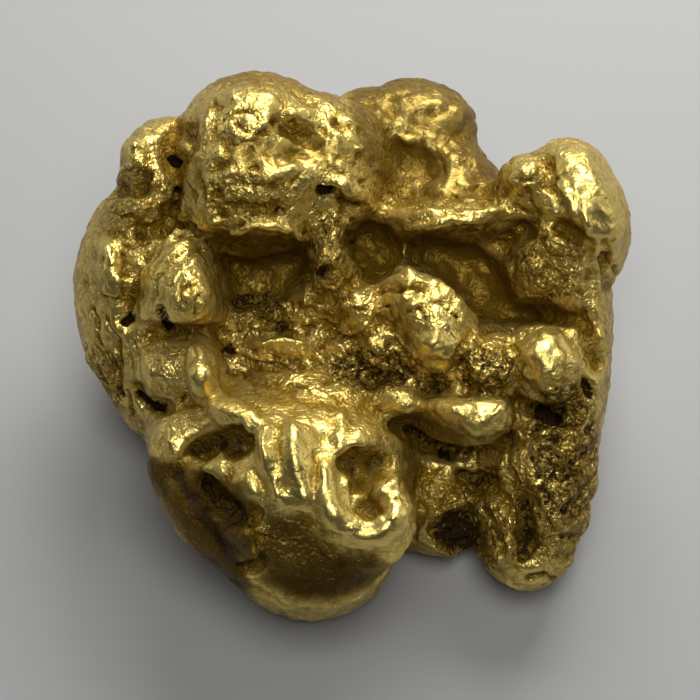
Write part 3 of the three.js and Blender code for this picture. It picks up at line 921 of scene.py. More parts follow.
def right_side() -> Region:
    """The right wall with its thumb, the ledge, the right hollow, and the knobs between them."""
    return Region(
        "right side",
        masses=(
            Lump("back lobe", (1.5, 4.9, 0.4), (1.35, 1.15, 1.6), -12),
            Lump("back lobe's left", (0.4, 4.7, 0.3), (1.1, 1.15, 1.6)),
            Lump("back slope", (2.25, 3.6, 0.9), (1.2, 1.0, 1.7), -40),
            Lump("ledge", (2.2, 2.9, 2.2), (1.6, 0.5, 1.7), 3),
            Lump("right wall", (4.95, 0.4, 1.5), (0.75, 3.4, 2.4), -2),
            Lump("thumb", (4.95, 3.0, 2.9), (0.95, 1.6, 1.5), 18),
            Lump("thumb's bead", (3.75, 3.55, 2.9), (0.55, 0.6, 0.85)),
            Lump("inner block", (4.2, 1.7, 2.0), (0.85, 0.8, 1.5)),
        ),
        hollows=(
            Lump("back dip", (1.45, 4.1, 2.4), (0.7, 0.45, 0.5), -25),
        ),
        knobs=(
            Lump("centre knob", (1.7, 0.7, 2.6), (0.9, 1.4, 1.5), 42),
            Lump("centre knob's top", (1.75, 0.0, 3.1), (0.75, 0.8, 1.1)),
            Lump("bowl's right rim", (0.85, 0.2, 2.6), (0.8, 0.7, 1.2)),
            Lump("shelf", (0.35, 0.85, 2.5), (0.8, 0.65, 1.3)),
            Lump("saddle", (2.85, -0.35, 3.1), (1.0, 0.75, 1.2)),
            Lump("bulb", (4.15, -0.3, 3.3), (0.8, 0.95, 1.15), 15),
            Lump("lower mound", (2.5, -1.45, 3.3), (1.1, 0.6, 1.2)),
            Lump("rim's right end", (1.1, -1.1, 3.0), (0.7, 0.5, 1.1)),
        ),
        # Painted shade: the right hollow, wall slot, back lobe's dip, back slope, socket, block's back,
        # pocket and the hollow under the bulb are darkened; the inner block has painted shade taken away.
        pads=(
            Pad(
                "right hollow", -0.7, 0.3,
                (
                    (1.05, 2.5), (2.0, 2.45), (2.6, 2.35), (3.3, 1.9), (3.5, 1.5), (3.6, 1.1), (4.9, 0.8),
                    (5.0, 0.5), (3.3, 0.5), (2.75, 0.6), (2.6, 0.95), (2.3, 1.3), (1.7, 1.7), (1.1, 1.85),
                ),
                shade_and_stain=0.65,
            ),
            Pad(
                "wall slot", -0.45, 0.35,
                ((4.8, 1.0), (5.1, 0.9), (5.3, 0.4), (5.45, -0.2), (5.4, -0.6), (5.1, -0.5), (4.95, 0.1)),
                shade_and_stain=0.6,
            ),
            Pad(
                "back lobe's dip", -0.08, 0.5,
                ((0.9, 4.4), (1.4, 4.5), (1.8, 4.3), (2.0, 4.0), (1.7, 3.8), (1.1, 3.9)),
                shade_and_stain=0.5,
            ),
            # Painted shade: the back slope and back lobe are darkened where they catch little light.
            Pad(
                "back slope", -0.05, 0.3,
                (
                    (0.0, 4.8), (-0.2, 6.2), (2.6, 6.2), (3.2, 4.6), (3.3, 3.6), (3.1, 3.1), (1.0, 2.95),
                    (0.6, 3.5),
                ),
                shade_and_stain=0.45,
                painted_shade=0.5,
            ),
            Pad(
                "thumb", 0.35, 0.5,
                (
                    (4.25, 4.15), (4.6, 4.45), (5.2, 4.25), (5.75, 3.4), (5.95, 2.6), (5.8, 1.9), (5.35, 1.9),
                    (5.15, 2.3), (4.75, 2.65), (4.5, 3.2), (4.3, 3.7),
                ),
            ),
            Pad(
                "thumb's bead", 0.35, 0.4,
                ((3.25, 3.85), (3.6, 4.1), (4.1, 4.05), (4.2, 3.6), (3.95, 3.4), (3.5, 3.35), (3.25, 3.55)),
            ),
            Pad(
                "socket", -0.4, 0.2,
                ((4.2, 2.65), (4.6, 2.9), (5.05, 2.45), (5.0, 2.15), (4.7, 2.3), (4.45, 2.4)),
                shade_and_stain=0.7,
            ),
            Pad(
                "block's back", 0.15, 0.4,
                ((3.2, 2.9), (4.0, 3.1), (4.4, 2.7), (4.3, 2.0), (3.5, 2.0), (3.3, 2.4)),
                shade_and_stain=0.3,
            ),
            Pad(
                "inner block", 0.5, 0.4,
                (
                    (3.5, 1.2), (3.55, 1.9), (3.45, 2.4), (3.6, 2.8), (4.1, 2.6), (5.0, 2.2), (5.05, 1.5),
                    (4.8, 1.05), (4.3, 1.0),
                ),
                shade_and_stain=-0.5,
            ),
            Pad(
                "ledge lip", 0.2, 0.2,
                (
                    (1.1, 2.7), (1.7, 2.8), (2.4, 2.95), (3.1, 3.0), (3.2, 2.75), (2.7, 2.6), (2.0, 2.5),
                    (1.2, 2.5),
                ),
            ),
            Pad(
                "centre hood", 0.3, 0.25,
                (
                    (0.7, 1.2), (0.95, 1.6), (1.25, 1.78), (1.75, 1.6), (2.25, 1.25), (2.6, 0.8), (2.75, 0.2),
                    (2.5, -0.2), (1.4, -0.2), (1.0, 0.6),
                ),
            ),
            Pad(
                "centre knob", 0.3, 0.35,
                (
                    (0.65, 0.9), (0.95, 1.35), (1.3, 1.45), (1.8, 1.2), (2.25, 0.8), (2.45, 0.3), (2.3, -0.3),
                    (2.0, -0.6), (1.6, -0.5), (1.35, 0.0), (1.0, 0.5),
                ),
            ),
            Pad(
                "saddle", 0.2, 0.3,
                (
                    (2.45, 0.0), (2.8, 0.3), (3.2, 0.35), (3.35, -0.1), (3.6, -0.6), (3.4, -0.95),
                    (2.8, -0.9), (2.4, -0.6),
                ),
            ),
            Pad(
                "bulb", 0.45, 0.45,
                (
                    (3.55, 0.0), (4.05, 0.45), (4.5, 0.35), (4.85, -0.1), (4.92, -0.6), (4.7, -1.0),
                    (4.3, -1.12), (3.95, -0.85), (3.75, -0.5),
                ),
            ),
            Pad(
                "lower mound", 0.35, 0.35,
                (
                    (1.5, -1.1), (2.2, -1.05), (2.8, -1.0), (3.45, -1.0), (3.5, -1.5), (3.2, -1.95),
                    (2.75, -2.05), (2.5, -1.6), (1.9, -1.4),
                ),
            ),
            Pad(
                "pocket", -0.7, 0.3,
                (
                    (0.85, -1.45), (1.4, -1.3), (1.8, -1.5), (2.4, -1.75), (2.5, -2.15), (2.2, -2.4),
                    (1.6, -2.3), (1.1, -2.0), (0.7, -1.75),
                ),
                shade_and_stain=0.7,
            ),
            Pad(
                "under the bulb", -0.4, 0.25,
                ((3.7, -0.95), (4.3, -1.15), (4.75, -1.15), (4.55, -1.7), (4.1, -1.65), (3.75, -1.3)),
                shade_and_stain=0.8,
            ),
        ),
        forms=(
            groove(0.2, 0.2, (4.2, 4.0), (4.3, 3.5), (4.55, 3.0)),
            swell(0.35, 0.12, (4.75, 3.4), (5.15, 2.6)),
            groove(0.25, 0.2, (5.45, 2.2), (5.5, 1.4)),
            swell(0.3, 0.15, (2.35, 5.1)),
            groove(0.3, 0.14, (1.45, 4.9), (1.85, 5.05)),
            swell(0.25, 0.15, (0.6, 5.0), (1.0, 4.7), (1.25, 4.5)),
            swell(0.25, 0.15, (1.7, 4.4)),
            groove(0.35, 0.2, (1.2, 3.2), (2.2, 3.25), (3.2, 3.3)),
            groove(0.6, 0.35, (1.7, 2.1), (2.4, 1.8), (2.9, 1.2)),
            swell(0.3, 0.12, (4.0, 1.8)),
            swell(0.35, 0.08, (3.2, -1.3)),
            groove(0.2, 0.15, (2.35, 0.0), (2.3, -0.4), (2.5, -0.9)),
        ),
        details=(
            ridge(0.1, 0.1, (4.5, 3.6), (4.7, 3.2), (4.85, 2.85)),
            ridge(0.12, 0.1, (4.95, 3.0), (5.15, 2.65)),
            groove(0.06, 0.06, (4.6, 3.75), (4.85, 3.3), (5.0, 2.95)),
            groove(0.1, 0.06, (4.22, 3.9), (4.35, 3.3)),
            swell(0.11, 0.09, (3.7, 3.88)),
            swell(0.1, 0.08, (3.92, 3.8)),
            swell(0.11, 0.09, (3.72, 3.52)),
            groove(0.07, 0.08, (3.5, 3.7), (3.85, 3.65)),
            groove(0.11, 0.12, (4.1, 2.38)),
            groove(0.12, 0.12, (4.75, 2.75), (4.98, 2.42)),
            ridge(0.08, 0.08, (4.2, 2.3), (4.5, 2.2), (4.85, 2.1)),
            ridge(0.08, 0.08, (4.3, 2.7), (4.45, 2.55), (4.4, 2.4)),
            ridge(0.07, 0.08, (3.75, 1.9), (4.1, 1.95), (4.4, 1.8)),
            ridge(0.07, 0.08, (4.65, 1.9), (4.5, 1.6), (4.25, 1.5)),
            ridge(0.07, 0.08, (3.6, 1.3), (4.0, 1.12), (4.4, 1.1), (4.8, 1.3)),
            swell(0.12, 0.1, (4.85, 1.15), (4.9, 0.85)),
            ridge(0.08, 0.1, (3.3, 2.05), (3.45, 1.7), (3.52, 1.3)),
            swell(0.12, 0.1, (3.6, 0.68)),
            swell(0.08, 0.07, (3.3, 0.95)),
            groove(0.08, 0.12, (5.72, 1.7), (5.68, 1.3)),
            groove(0.06, 0.08, (5.4, 2.1), (5.45, 1.7)),
            ridge(0.07, 0.06, (5.25, 2.2), (5.3, 1.5), (5.2, 0.9)),
            ridge(0.08, 0.08, (5.1, 0.8), (5.35, 0.4), (5.45, 0.0)),
            ridge(0.08, 0.1, (2.9, 2.95), (3.3, 2.95), (3.6, 3.02)),
            swell(0.1, 0.12, (2.78, 2.4)),
            swell(0.1, 0.1, (2.28, 2.7)),
            ridge(0.1, 0.14, (1.2, 2.6), (1.7, 2.66), (2.2, 2.78), (2.6, 2.76), (2.85, 2.6)),
            ridge(0.08, 0.08, (2.45, 3.48), (2.8, 3.58)),
            groove(0.06, 0.06, (1.3, 3.35), (2.0, 3.3), (2.6, 3.2)),
            ridge(0.06, 0.05, (1.4, 2.9), (2.2, 2.98), (2.8, 2.95)),
            ridge(0.12, 0.2, (0.82, 1.4), (1.1, 1.72), (1.5, 1.68), (1.9, 1.4), (2.3, 1.05)),
            ridge(0.12, 0.18, (2.3, 1.05), (2.6, 0.7), (2.67, 0.35), (2.58, 0.0)),
            groove(0.13, 0.24, (0.9, 1.3), (1.4, 1.42), (1.8, 1.18), (2.1, 0.9)),
            swell(0.12, 0.1, (1.3, 0.95)),
            swell(0.12, 0.1, (1.55, 1.2)),
            groove(0.07, 0.1, (1.15, 0.8), (1.45, 0.9), (1.6, 0.7)),
            pit(0.09, 0.25, (2.08, 0.85), (2.28, 0.7)),
            ridge(0.07, 0.07, (2.3, 0.9), (2.42, 0.72), (2.35, 0.6)),
            swell(0.12, 0.08, (1.15, 1.15)),
            swell(0.1, 0.08, (1.72, 1.08)),
            pit(0.07, 0.12, (0.78, 0.9)),
            ridge(0.08, 0.12, (3.38, 0.15), (3.45, -0.2), (3.7, -0.4), (3.95, -0.62)),
            ridge(0.08, 0.1, (3.15, 0.35), (3.35, 0.22)),
            groove(0.09, 0.08, (4.5, 0.2), (4.68, -0.1), (4.74, -0.5)),
            ridge(0.1, 0.1, (4.45, 0.35), (4.75, 0.05), (4.9, -0.45), (4.82, -0.85), (4.5, -1.12)),
            groove(0.12, 0.16, (3.85, -0.92), (4.2, -1.02)),
            pit(0.18, 0.3, (4.15, -1.35), (4.35, -1.5)),
            swell(0.09, 0.1, (3.42, -0.85)),
            pit(0.13, 0.3, (5.05, -0.7), (5.15, -0.95)),
            ridge(0.07, 0.07, (5.0, -0.5), (5.2, -0.6), (5.3, -0.9)),
            ridge(0.13, 0.14, (1.55, -1.2), (2.0, -1.22), (2.4, -1.3), (2.5, -1.55), (2.75, -1.8)),
            swell(0.2, 0.12, (3.2, -1.3)),
            swell(0.14, 0.1, (3.2, -1.65)),
            pit(0.12, 0.3, (1.95, -2.2), (2.08, -2.25)),
            pit(0.1, 0.25, (2.42, -2.3), (2.5, -2.15)),
            swell(0.1, 0.12, (2.48, -2.02)),
            swell(0.1, 0.1, (2.75, -2.1)),
            ridge(0.07, 0.06, (2.5, -2.5), (2.8, -2.3), (3.0, -2.2)),
        ),
    )


def lower_lobe() -> Region:
    """The large smooth lobe that hangs forward at the lower left: ribs, dimples and a bright shoulder."""
    return Region(
        "lower lobe",
        masses=(
            Lump("lower lobe", (-1.2, -2.3, 3.0), (2.6, 1.4, 2.5), -8),
            Lump("lower lobe's left", (-2.8, -2.6, 2.4), (1.3, 2.0, 2.4), 35),
            Lump("lower lobe's tip", (-0.35, -3.2, 3.1), (1.6, 1.4, 2.5)),
            Lump("lower lobe's apron", (-0.85, -3.8, 4.1), (1.85, 1.75, 1.2)),
            Lump("lower lobe's left apron", (-2.65, -3.0, 3.6), (1.3, 2.1, 1.2), 35),
            Lump("lower lobe's foot", (-0.85, -4.3, 1.8), (1.75, 1.6, 2.2)),
            Lump("lower lobe's heel", (-2.3, -3.9, 1.5), (1.0, 1.6, 1.8), 32),
            Lump("lower lobe's shoulder", (0.2, -3.55, 5.0), (1.2, 1.1, 0.4)),
            Lump("lower lobe's face", (-1.45, -3.15, 5.05), (1.0, 1.4, 0.45)),
        ),
        knobs=(
            Lump("corner bead", (-3.8, -1.9, 3.3), (0.5, 0.5, 0.9)),
        ),
        # Painted shade: the dimples, the left hollow and left side, the shoulder's right edge and the olive
        # strip are darkened.
        pads=(
            Pad(
                "ribs", 0.25, 0.4,
                (
                    (-2.2, -1.4), (-1.5, -1.4), (-0.9, -1.5), (-0.75, -2.2), (-0.8, -3.3), (-1.1, -3.5),
                    (-1.7, -3.3), (-1.95, -2.7), (-2.1, -2.0),
                ),
            ),
            Pad(
                "shoulder", 0.28, 0.45,
                (
                    (-0.75, -2.3), (-0.35, -2.3), (-0.25, -3.1), (0.0, -3.5), (0.5, -3.65), (0.8, -3.3),
                    (0.7, -3.0), (1.2, -2.8), (1.4, -3.3), (1.25, -3.9), (0.8, -4.25), (0.0, -4.3),
                    (-0.6, -3.9), (-0.85, -3.2),
                ),
            ),
            Pad(
                "shoulder bead", 0.35, 0.4,
                ((-0.1, -1.65), (0.3, -1.45), (0.7, -1.7), (0.65, -2.1), (0.25, -2.25), (-0.1, -2.05)),
            ),
            Pad(
                "lower knobs", 0.35, 0.4,
                (
                    (-2.6, -3.7), (-2.2, -3.5), (-1.9, -3.9), (-1.9, -4.5), (-2.2, -4.7), (-2.6, -4.5),
                    (-2.75, -4.1),
                ),
            ),
            Pad(
                "side knob", 0.25, 0.3,
                ((-2.45, -2.6), (-2.05, -2.55), (-1.9, -3.1), (-2.2, -3.4), (-2.5, -3.1)),
            ),
            Pad(
                "left hollow", -0.15, 0.4,
                (
                    (-3.9, -2.4), (-3.4, -2.3), (-2.9, -2.6), (-2.3, -2.7), (-1.9, -3.4), (-1.7, -4.2),
                    (-2.0, -4.8), (-2.6, -4.6), (-3.3, -3.7), (-3.8, -2.9),
                ),
                shade_and_stain=0.85,
                painted_shade=0.75,
            ),
            # Painted shade: the lobe's front is darkened as the dark room it reflects, and stays shiny.
            Pad(
                "front", -0.1, 0.5,
                (
                    (-1.9, -3.4), (-1.0, -3.45), (-0.65, -3.9), (-0.25, -4.2), (0.6, -4.3), (0.9, -4.6),
                    (0.4, -5.2), (-0.3, -5.5), (-1.2, -5.45), (-2.0, -5.0),
                ),
                shade_and_stain=0.6,
                painted_shade=1.2,
            ),
            Pad(
                "shoulder's right edge", -0.1, 0.25,
                ((0.75, -2.0), (1.35, -2.0), (1.5, -2.6), (1.4, -3.2), (1.05, -3.1), (0.95, -2.6)),
                shade_and_stain=0.35,
                painted_shade=0.6,
            ),
            Pad(
                "left side", -0.03, 0.22,
                (
                    (-4.5, -2.1), (-4.4, -2.7), (-3.85, -3.7), (-3.3, -4.5), (-2.6, -5.3), (-2.0, -5.1),
                    (-2.5, -4.2), (-3.1, -3.3), (-3.6, -2.5),
                ),
                shade_and_stain=0.7,
                painted_shade=0.9,
            ),
            Pad(
                "olive strip", -0.03, 0.3,
                (
                    (-2.2, -0.8), (-1.2, -0.85), (-0.2, -0.95), (0.8, -0.9), (1.0, -1.25), (0.5, -1.45),
                    (-0.3, -1.5), (-1.2, -1.45), (-1.9, -1.3),
                ),
                shade_and_stain=0.4,
            ),
            Pad(
                "upper left dimple", -0.1, 0.3,
                (
                    (-3.7, -2.3), (-3.3, -1.85), (-2.9, -1.65), (-2.5, -1.6), (-2.15, -1.85), (-2.15, -2.3),
                    (-2.5, -2.5), (-2.8, -2.3), (-3.3, -2.4),
                ),
                shade_and_stain=0.9,
                painted_shade=0.7,
            ),
            Pad(
                "right dimple", -0.1, 0.25,
                (
                    (-0.3, -2.3), (0.2, -2.1), (0.8, -2.15), (1.0, -2.4), (0.75, -2.65), (0.6, -2.95),
                    (0.75, -3.5), (0.4, -3.75), (0.05, -3.5), (0.1, -3.1), (-0.15, -2.8),
                ),
                shade_and_stain=0.8,
                painted_shade=0.6,
            ),
        ),
        forms=(
            swell(0.35, 0.25, (-3.2, -0.5), (-3.05, -1.0), (-2.7, -1.3), (-2.2, -1.5)),
            groove(0.45, 0.5, (-3.3, -2.15), (-2.95, -1.95), (-2.45, -2.0)),
            swell(0.2, 0.2, (-2.85, -2.1)),
            groove(0.4, 0.45, (-3.15, -2.95), (-2.9, -3.25), (-2.6, -3.45)),
            groove(0.4, 0.4, (0.0, -2.4), (0.4, -2.5), (0.7, -2.4)),
            groove(0.25, 0.2, (0.2, -2.75), (0.35, -2.9)),
            swell(0.2, 0.15, (0.0, -2.85)),
            groove(0.35, 0.15, (0.25, -3.35), (0.45, -3.45)),
            groove(0.3, 0.25, (-2.0, -3.5), (-2.3, -3.7)),
            groove(0.25, 0.25, (-2.35, -4.75), (-1.9, -4.6)),
            groove(0.3, 0.2, (-3.5, -2.3), (-3.8, -2.6)),
            swell(0.22, 0.15, (-2.65, -3.95)),
            swell(0.2, 0.14, (-2.2, -3.95)),
            swell(0.2, 0.14, (-2.05, -4.35)),
            swell(0.18, 0.12, (-3.2, -3.4)),
            swell(0.2, 0.2, (-3.1, -2.5), (-2.75, -2.6), (-2.5, -2.9)),
            swell(0.25, 0.12, (-3.35, -2.95)),
            swell(0.25, 0.1, (-1.85, -1.6), (-1.8, -2.5)),
            swell(0.25, 0.12, (-1.25, -1.7), (-1.15, -2.5), (-1.0, -3.0), (-0.92, -3.4)),
            groove(0.25, 0.12, (-1.45, -2.9)),
            groove(0.25, 0.12, (-0.55, -1.9)),
            swell(0.22, 0.15, (-0.22, -1.5), (-0.18, -2.1)),
            swell(0.4, 0.06, (-0.55, -2.6), (-0.45, -3.2), (-0.15, -3.8), (0.5, -4.0), (1.1, -3.65)),
        ),
        details=(
            swell(0.12, 0.1, (-3.82, -1.7), (-3.8, -1.95)),
            groove(0.1, 0.1, (-2.15, -3.7)),
            ridge(0.1, 0.08, (-2.95, -1.15), (-2.6, -1.35), (-2.3, -1.45), (-2.15, -1.8)),
            swell(0.16, 0.07, (-1.85, -1.75), (-1.8, -2.3)),
            groove(0.12, 0.06, (-1.55, -1.6), (-1.5, -2.4)),
            swell(0.16, 0.07, (-1.6, -2.7), (-1.55, -3.1)),
            groove(0.12, 0.06, (-0.75, -2.2), (-0.72, -2.8)),
            groove(0.14, 0.12, (0.1, -2.75), (0.2, -3.1)),
            swell(0.1, 0.08, (0.05, -3.8)),
            swell(0.12, 0.1, (0.62, -3.6)),
            swell(0.13, 0.1, (0.95, -3.6)),
            swell(0.16, 0.12, (0.5, -3.15), (0.75, -2.98), (0.95, -2.85)),
            groove(0.12, 0.12, (0.05, -2.55), (0.12, -3.0), (0.05, -3.3)),
            groove(0.1, 0.1, (0.95, -3.2), (1.25, -3.3)),
            swell(0.1, 0.08, (1.35, -2.65)),
            pit(0.08, 0.1, (1.1, -2.9)),
            groove(0.1, 0.1, (-3.1, -2.85), (-2.9, -3.2)),
            groove(0.08, 0.1, (-2.4, -4.6), (-1.9, -4.5)),
            swell(0.15, 0.08, (-0.4, -4.5)),
            groove(0.08, 0.08, (-2.0, -3.9), (-1.9, -4.4)),
        ),
    )


def right_foot() -> Region:
    """The grainy foot at the lower right, its toe and groove, and the dark recess beside the lower lobe."""
    return Region(
        "right foot",
        masses=(
            Lump("right foot", (4.15, -2.6, 1.6), (1.25, 2.4, 2.1), -6),
            Lump("toe", (3.9, -4.25, 2.1), (1.05, 0.95, 1.1)),
            Lump("recess floor", (2.1, -3.3, 1.1), (1.0, 1.25, 1.6)),
        ),
        # Painted shade: the front recess, toe groove, gap, recess floor and the foot's right face are
        # darkened.
        pads=(
            Pad(
                "front recess", -0.6, 0.3,
                (
                    (1.6, -3.9), (2.0, -3.45), (2.6, -3.3), (2.85, -3.8), (2.95, -4.3), (2.6, -4.4),
                    (2.1, -4.3),
                ),
                shade_and_stain=1.0,
            ),
            Pad(
                "toe groove", -0.5, 0.2,
                (
                    (3.5, -3.0), (3.9, -3.2), (4.05, -3.8), (3.95, -4.4), (3.65, -4.6), (3.55, -4.2),
                    (3.6, -3.6),
                ),
                shade_and_stain=0.8,
            ),
            Pad(
                "inner rib", 0.3, 0.35,
                (
                    (2.6, -3.1), (3.1, -3.1), (3.45, -3.6), (3.5, -4.3), (3.3, -4.8), (2.95, -4.6),
                    (2.85, -3.9),
                ),
            ),
            Pad(
                "gap", -0.5, 0.2,
                (
                    (2.3, -2.5), (2.7, -2.65), (3.1, -2.55), (3.4, -2.85), (2.9, -2.95), (2.7, -3.15),
                    (2.4, -2.85),
                ),
                shade_and_stain=0.8,
            ),
            Pad(
                "foot's face", 0.2, 0.3,
                (
                    (3.55, -1.6), (4.2, -1.9), (5.0, -1.3), (5.25, -2.0), (5.1, -3.0), (4.9, -3.9),
                    (4.4, -4.3), (4.15, -3.6), (3.9, -3.1), (3.55, -2.8),
                ),
            ),
            Pad(
                "foot's right", -0.05, 0.3,
                ((4.4, -1.6), (5.0, -1.3), (5.3, -2.0), (5.1, -3.2), (4.9, -3.9), (4.5, -3.8), (4.4, -2.8)),
                shade_and_stain=0.35,
            ),
            Pad(
                "recess floor", -0.05, 0.3,
                ((1.3, -2.3), (2.4, -2.5), (2.6, -3.2), (2.0, -3.4), (1.5, -3.9), (1.35, -3.2)),
                shade_and_stain=0.4,
            ),
        ),
        forms=(
            swell(0.3, 0.12, (4.6, -1.9), (4.9, -2.6)),
            groove(0.25, 0.12, (4.3, -2.0), (4.5, -2.9)),
        ),
        details=(
            ridge(0.08, 0.14, (1.5, -4.02), (1.9, -4.25), (2.3, -4.5), (2.7, -4.52)),
            ridge(0.08, 0.12, (1.52, -3.95), (1.65, -3.6), (1.95, -3.45), (2.5, -3.35)),
            ridge(0.08, 0.1, (2.6, -3.3), (2.85, -3.9), (3.1, -4.4)),
            ridge(0.07, 0.08, (3.0, -3.3), (3.25, -3.8), (3.42, -4.3)),
            groove(0.06, 0.08, (2.85, -3.4), (3.1, -3.9), (3.3, -4.4)),
            groove(0.06, 0.1, (3.5, -1.2), (3.52, -1.6), (3.38, -2.0), (3.38, -2.5), (3.5, -2.95)),
            ridge(0.06, 0.08, (3.42, -1.2), (3.42, -1.6), (3.28, -2.0), (3.28, -2.5), (3.42, -2.9)),
            ridge(0.06, 0.08, (3.55, -2.0), (3.5, -2.4), (3.7, -2.8)),
            pit(0.07, 0.15, (3.92, -2.33)),
            swell(0.1, 0.1, (3.95, -2.65)),
            ridge(0.06, 0.06, (3.8, -2.9), (4.1, -2.9), (4.25, -2.6)),
            swell(0.12, 0.1, (3.6, -1.75)),
            swell(0.08, 0.08, (3.85, -1.8)),
            swell(0.08, 0.08, (4.15, -2.2)),
            pit(0.08, 0.15, (4.65, -2.75)),
            pit(0.07, 0.12, (4.6, -3.45)),
            pit(0.07, 0.12, (4.85, -2.15)),
            ridge(0.07, 0.08, (4.15, -3.3), (4.3, -3.7), (4.2, -4.1)),
            groove(0.07, 0.1, (4.55, -4.1), (4.7, -3.9), (4.85, -4.1)),
            groove(0.06, 0.08, (3.8, -4.95), (4.1, -4.85), (4.4, -4.95)),
            ridge(0.07, 0.07, (3.0, -4.6), (3.2, -4.9), (3.7, -5.1)),
            swell(0.1, 0.08, (4.85, -2.5)),
            swell(0.1, 0.08, (4.95, -3.6)),
        ),
    )


@dataclass(frozen=True)
class GoldFinish:
    """Native gold: worn bright on the knobs, deeper in colour with painted shade in hollows, creases and dim
    faces, and nearly black in the pits.
    """

    metal: tuple[float, float, float, float] = (0.92, 0.71, 0.21, 1.0)
    # Painted shade: the colour that hollows, recesses and sides turned away are darkened to; random mottle
    # adds to it too.
    deep: tuple[float, float, float, float] = (0.28, 0.167, 0.014, 1.0)
    # Nearly black: soil in the sand, the dark pits, and painted shade in creases and deep recesses.
    earth_and_shade: tuple[float, float, float, float] = (0.030, 0.014, 0.002, 1.0)
    # Painted shade: a dark shiny gold standing in for shade and dark reflections.
    painted_shade_colour: tuple[float, float, float, float] = (0.075, 0.04, 0.004, 1.0)
    smooth_roughness: float = 0.29
    rough_roughness: float = 0.46
    # The painted shade in the hollows also takes shine off.
    lost_shine: float = 0.55
    specular: float = 0.15
    mottle_spread: float = 3.0
    mottle_share: float = 0.6
    mottle_floor: float = -0.25
    mottle_roughness: float = 0.4
    depth_roughness: float = 0.6
    painted_shade_floor: float = 0.45
    grain_share: float = 0.6
    grain_floor: float = -0.3
    crease_share: float = 1.0
    crease_falloff: float = 2.0
    crease_earth: float = 0.85
    fill_start: float = 0.45
    fill_slope: float = 2.0
    fill_roughness: float = 0.3
    fine_layers: float = 3.0
    net_layers: float = 2.0
    crease_size: float = 0.34
    crease_width: float = 0.11
    worm_size: float = 0.15
    worm_width: float = 0.13
    grain_size: float = 0.08
    crease_height: float = 0.05
    worm_height: float = 0.022
    grain_height: float = 0.004

    def make(self) -> bpy.types.Material:
        """Builds the finish.

        Returns:
            The new material.
        """
        gold = bpy.data.materials.new("native gold")
        gold.use_nodes = True
        tree = gold.node_tree
        shader = tree.nodes["Principled BSDF"]
        place = tree.nodes.new("ShaderNodeTexCoord")
        hollow = self.attribute(tree, "hollow")
        rough_part = self.attribute(tree, "crumpled")
        earth_and_shade_cover = self.attribute(tree, "earth_and_shade")

        mottle = self.noise(tree, place, self.crease_size * self.mottle_spread, self.fine_layers)
        grain = self.noise(tree, place, self.grain_size, self.fine_layers)
        pillow = self.pillow(tree, place, self.crease_size, self.crease_width)
        worm = self.pillow(tree, place, self.worm_size, self.worm_width)
        crease = self.math(tree, "SUBTRACT", 1.0, self.math(tree, "MULTIPLY", pillow, worm))
        crease = self.math(tree, "MULTIPLY", crease, rough_part)

        # The metal deepens in colour by the hollow attribute, which is painted shade, and by random mottle
        # and fine creases.
        shade_and_stain = self.math(tree, "MULTIPLY_ADD", mottle, self.mottle_share, self.mottle_floor)
        depth = self.math(tree, "ADD", hollow, shade_and_stain)
        depth = self.math(tree, "MULTIPLY_ADD", crease, self.crease_share, depth)
        depth = self.math(tree, "MAXIMUM", self.math(tree, "MINIMUM", depth, 1.0), 0.0)
        colour = self.mix(tree, depth, self.metal, self.deep)
        # Painted shade: darkens the metal, keeping it shiny, where the pads paint shade and dark reflections.
        painted_shade = self.attribute(tree, "painted_shade")
        shade_mottle = self.math(tree, "ADD", mottle, self.painted_shade_floor)
        painted_shade_share = self.math(tree, "MULTIPLY", painted_shade, shade_mottle, clamp=True)
        colour = self.mix(tree, painted_shade_share, colour, self.painted_shade_colour)
        # Nearly black fill: painted shade in creases and recesses, soil in the sand, the dark pits, grain and
        # fine creases.
        earth_and_shade_fill = self.math(tree, "MULTIPLY_ADD", grain, self.grain_share, self.grain_floor)
        earth_and_shade_fill = self.math(tree, "ADD", earth_and_shade_cover, earth_and_shade_fill)
        sharp_crease = self.math(tree, "POWER", crease, self.crease_falloff)
        earth_and_shade_fill = self.math(tree, "MULTIPLY_ADD", sharp_crease, self.crease_earth, earth_and_shade_fill)
        earth_and_shade_fill = self.math(tree, "SUBTRACT", earth_and_shade_fill, self.fill_start)
        earth_and_shade_fill = self.math(tree, "MULTIPLY", earth_and_shade_fill, self.fill_slope, clamp=True)
        colour = self.mix(tree, earth_and_shade_fill, colour, self.earth_and_shade)
        tree.links.new(colour, shader.inputs["Base Color"])
        # Painted shade in the hollows also takes shine off.
        lost = self.math(tree, "MULTIPLY_ADD", depth, self.lost_shine, earth_and_shade_fill)
        tree.links.new(self.math(tree, "SUBTRACT", 1.0, lost, clamp=True), shader.inputs["Metallic"])

        span = self.rough_roughness - self.smooth_roughness
        mottled = self.math(tree, "MULTIPLY", mottle, self.mottle_roughness)
        worn = self.math(tree, "MULTIPLY_ADD", depth, self.depth_roughness, mottled)
        rough = self.math(tree, "MULTIPLY_ADD", worn, span, self.smooth_roughness)
        fill_roughening = self.math(tree, "MULTIPLY", earth_and_shade_fill, self.fill_roughness)
        rough = self.math(tree, "ADD", rough, fill_roughening, clamp=True)
        tree.links.new(rough, shader.inputs["Roughness"])
        shader.inputs["Specular IOR Level"].default_value = self.specular

        relief = self.bump(tree, grain, self.grain_height)
        relief = self.bump(tree, self.math(tree, "MULTIPLY", worm, rough_part), self.worm_height, relief)
        relief = self.bump(tree, self.math(tree, "MULTIPLY", pillow, rough_part), self.crease_height, relief)
        tree.links.new(relief, shader.inputs["Normal"])
        return gold

